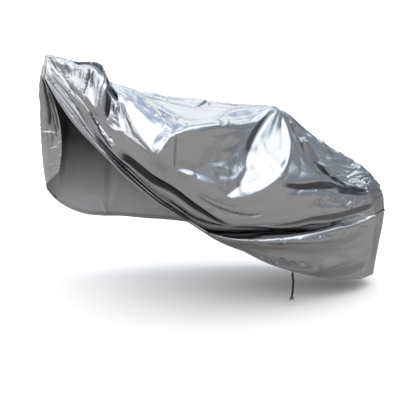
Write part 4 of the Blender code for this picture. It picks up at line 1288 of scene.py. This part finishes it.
def plastic_material():
    material, nodes, shader = new_material("black moulded plastic")
    place = nodes.object_place()
    wear = nodes.group("wear", Place=place, Patch_Scale=90.0, Scuff_Scale=1400.0)
    grain = nodes.noise(place, PLASTIC_GRAIN_SCALE, 2.0)
    rough = nodes.math("MULTIPLY_ADD", wear["Patches"], PLASTIC_PATCHES, PLASTIC_ROUGHNESS)
    nodes.fill(shader, Base_Color=nodes.mix(wear["Scuffs"], PLASTIC_COLOUR, PLASTIC_SCUFFED),
               Roughness=rough,
               Normal=nodes.bump(grain, strength=.25, distance=.00008))
    return material


# ---------------------------------------------------------------- studio
FLOOR_SEEN = (.98, .935, .885, 1)      # the floor as the camera sees it
FLOOR_MOTTLE = 1.02                    # its lightest patches, of that
FLOOR_MOTTLE_SCALE = 1.5
FLOOR_ROUGHNESS = .9
FLOOR_LIT = (.36, .336, .314, 1)       # and as it lights and mirrors in the film
FLOOR_RADIUS = 40.0
FLOOR_MIDDLE = (-.3, 0, GROUND)
STUDIO_BACK = (.93, .93, .93, 1)


def studio_floor():
    mesh = bmesh.new()
    bmesh.ops.create_circle(mesh, cap_ends=True, radius=FLOOR_RADIUS, segments=96)
    material, nodes, shader = new_material("pale studio floor")
    floor = place_piece("studio_floor", mesh_data("studio floor", mesh), material, smooth=False)
    floor.location = FLOOR_MIDDLE
    mottle = nodes.noise(nodes.object_place(), FLOOR_MOTTLE_SCALE, 5.0)
    seen = nodes.mix(mottle, FLOOR_SEEN, lightened(FLOOR_SEEN, FLOOR_MOTTLE))
    nodes.fill(shader, Base_Color=nodes.mix(nodes.by_camera(), FLOOR_LIT, seen),
               Roughness=FLOOR_ROUGHNESS, Specular_IOR_Level=0.0)


# Light from the studio's walls and ceiling.  FRONT_TO_BACK is by the turn from the front
# floor line (0) over the ceiling (90) to the back floor line (180); the ends and the corner
# are by the height above the floor line (90 is straight up).
Sky = namedtuple("Sky", "turn colour")
FRONT_TO_BACK = (
    Sky(0, (.42, .41, .41)), Sky(12, (.43, .45, .49)), Sky(29, (.60, .70, .86)),
    Sky(39, (1.9, 1.95, 2.05)), Sky(100, (2.1, 2.15, 2.2)), Sky(109, (.56, .72, 1.02)),
    Sky(125, (.58, .72, .98)), Sky(134, (1.45, 1.52, 1.62)), Sky(165, (1.35, 1.40, 1.46)),
    Sky(180, (.70, .71, .73)),
)
FRONT_END_SKY = (
    Sky(0, (.40, .41, .43)), Sky(10, (.50, .52, .55)), Sky(22, (.85, .88, .93)),
    Sky(34, (1.3, 1.35, 1.42)), Sky(50, (1.6, 1.65, 1.72)), Sky(90, (1.6, 1.7, 1.8)),
)
FRONT_CORNER_SKY = (
    Sky(0, (1.2, 1.22, 1.26)), Sky(12, (1.55, 1.6, 1.68)), Sky(40, (1.6, 1.65, 1.72)),
    Sky(90, (1.6, 1.7, 1.8)),
)
CORNER_SHARE = (-.06, .20)              # behind the front end, by direction
REAR_END_SKY = (
    Sky(0, (.32, .325, .33)), Sky(24, (.33, .38, .44)), Sky(31, (.42, .50, .62)),
    Sky(39, (1.1, 1.2, 1.35)), Sky(50, (1.7, 1.8, 1.9)), Sky(90, (1.7, 1.8, 1.9)),
)
STUDIO_ENDS = ((-.55, -.85), (.30, .62))   # where the ends start and are full, by direction


def sky_ramp(nodes, place, rows, full_turn):
    ramp = nodes.add("ShaderNodeValToRGB", Fac=place)
    marks = ramp.color_ramp.elements
    for _ in rows[2:]:
        marks.new(.5)
    for mark, row in zip(marks, rows):
        mark.position = row.turn / full_turn
        mark.color = row.colour + (1,)
    return ramp.outputs[0]


def studio_sky():
    world = bpy.data.worlds.new("studio")
    bpy.context.scene.world = world
    world.use_nodes = True
    nodes = Nodes(world.node_tree)
    way = nodes.add("ShaderNodeTexCoord").outputs["Generated"]
    parts = nodes.add("ShaderNodeSeparateXYZ", Vector=way).outputs
    front = nodes.math("MULTIPLY", parts["Y"], -1.0)
    turn = nodes.math("DIVIDE", nodes.math("ARCTAN2", parts["Z"], front), math.pi)
    height = nodes.math("DIVIDE", nodes.math("ARCSINE", parts["Z"]), math.pi / 2)
    light = sky_ramp(nodes, turn, FRONT_TO_BACK, 180)
    corner = nodes.span(parts["Y"], *CORNER_SHARE, kind="SMOOTHSTEP")
    front_end = nodes.mix(corner, sky_ramp(nodes, height, FRONT_END_SKY, 90),
                          sky_ramp(nodes, height, FRONT_CORNER_SKY, 90))
    rear_end = sky_ramp(nodes, height, REAR_END_SKY, 90)
    for end, share in zip((front_end, rear_end), STUDIO_ENDS):
        light = nodes.mix(nodes.span(parts["X"], *share, kind="SMOOTHSTEP"), light, end)
    nodes.fill(world.node_tree.nodes["Background"],
               Color=nodes.mix(nodes.by_camera(), light, STUDIO_BACK))


# ---------------------------------------------------------------- the cover
def main():
    studio_camera()
    for make in (film_relief_group, stitch_group, wear_group, painted_fold_shade_group, tape_weave_group):
        make()
    film = film_material()
    strap_tape = tape_material("black strap tape", STRAP_COLOUR, lift=3.0, roughness=.75)
    tab_tape = tape_material("grey tab tape", TAB_COLOUR, lift=1.3, roughness=.6)

    strap, route = strap_piece(strap_tape)
    clip = clip_piece(route[-1], plastic_material())
    tab = tab_piece(tab_tape)
    near = side_panel(near_surface, NEAR_ALONG, NEAR_LEVEL_CELLS, 1, NEAR_DRAPE,
                      NEAR_CALM_REAR, False)
    near_piece = panel_piece("cover_near_side", near, {
        "right": SEAM_INSET, "last": SEAM_INSET, "first": FRONT_INSET}, film)
    far = side_panel(far_surface, FAR_ALONG, FAR_LEVEL_CELLS, -1, FAR_DRAPE, CALM_EDGE, True)
    far_piece = panel_piece("cover_far_side", far, {
        "right": SEAM_INSET, "last": SEAM_INSET, "first": SEAM_INSET}, film, flip=True)
    gusset = panel_piece("cover_centre_gusset", crown_panel(), {
        "left": SEAM_INSET, "right": SEAM_INSET}, film, hemmed=False)

    for piece, node, slot in ((near_piece, "near_side_panel", "silver_film"),
                              (far_piece, "far_side_panel", "silver_film"),
                              (gusset, "centre_gusset", "silver_film"),
                              (tab, "strap_tab", "tab_tape"),
                              (strap, "hem_strap", "strap_tape"),
                              (clip, "strap_clip", "clip_plastic")):
        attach(piece, "root")
        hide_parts(node)
    studio_floor()
    studio_sky()
    bpy.context.scene.view_settings.view_transform = "Standard"


main()
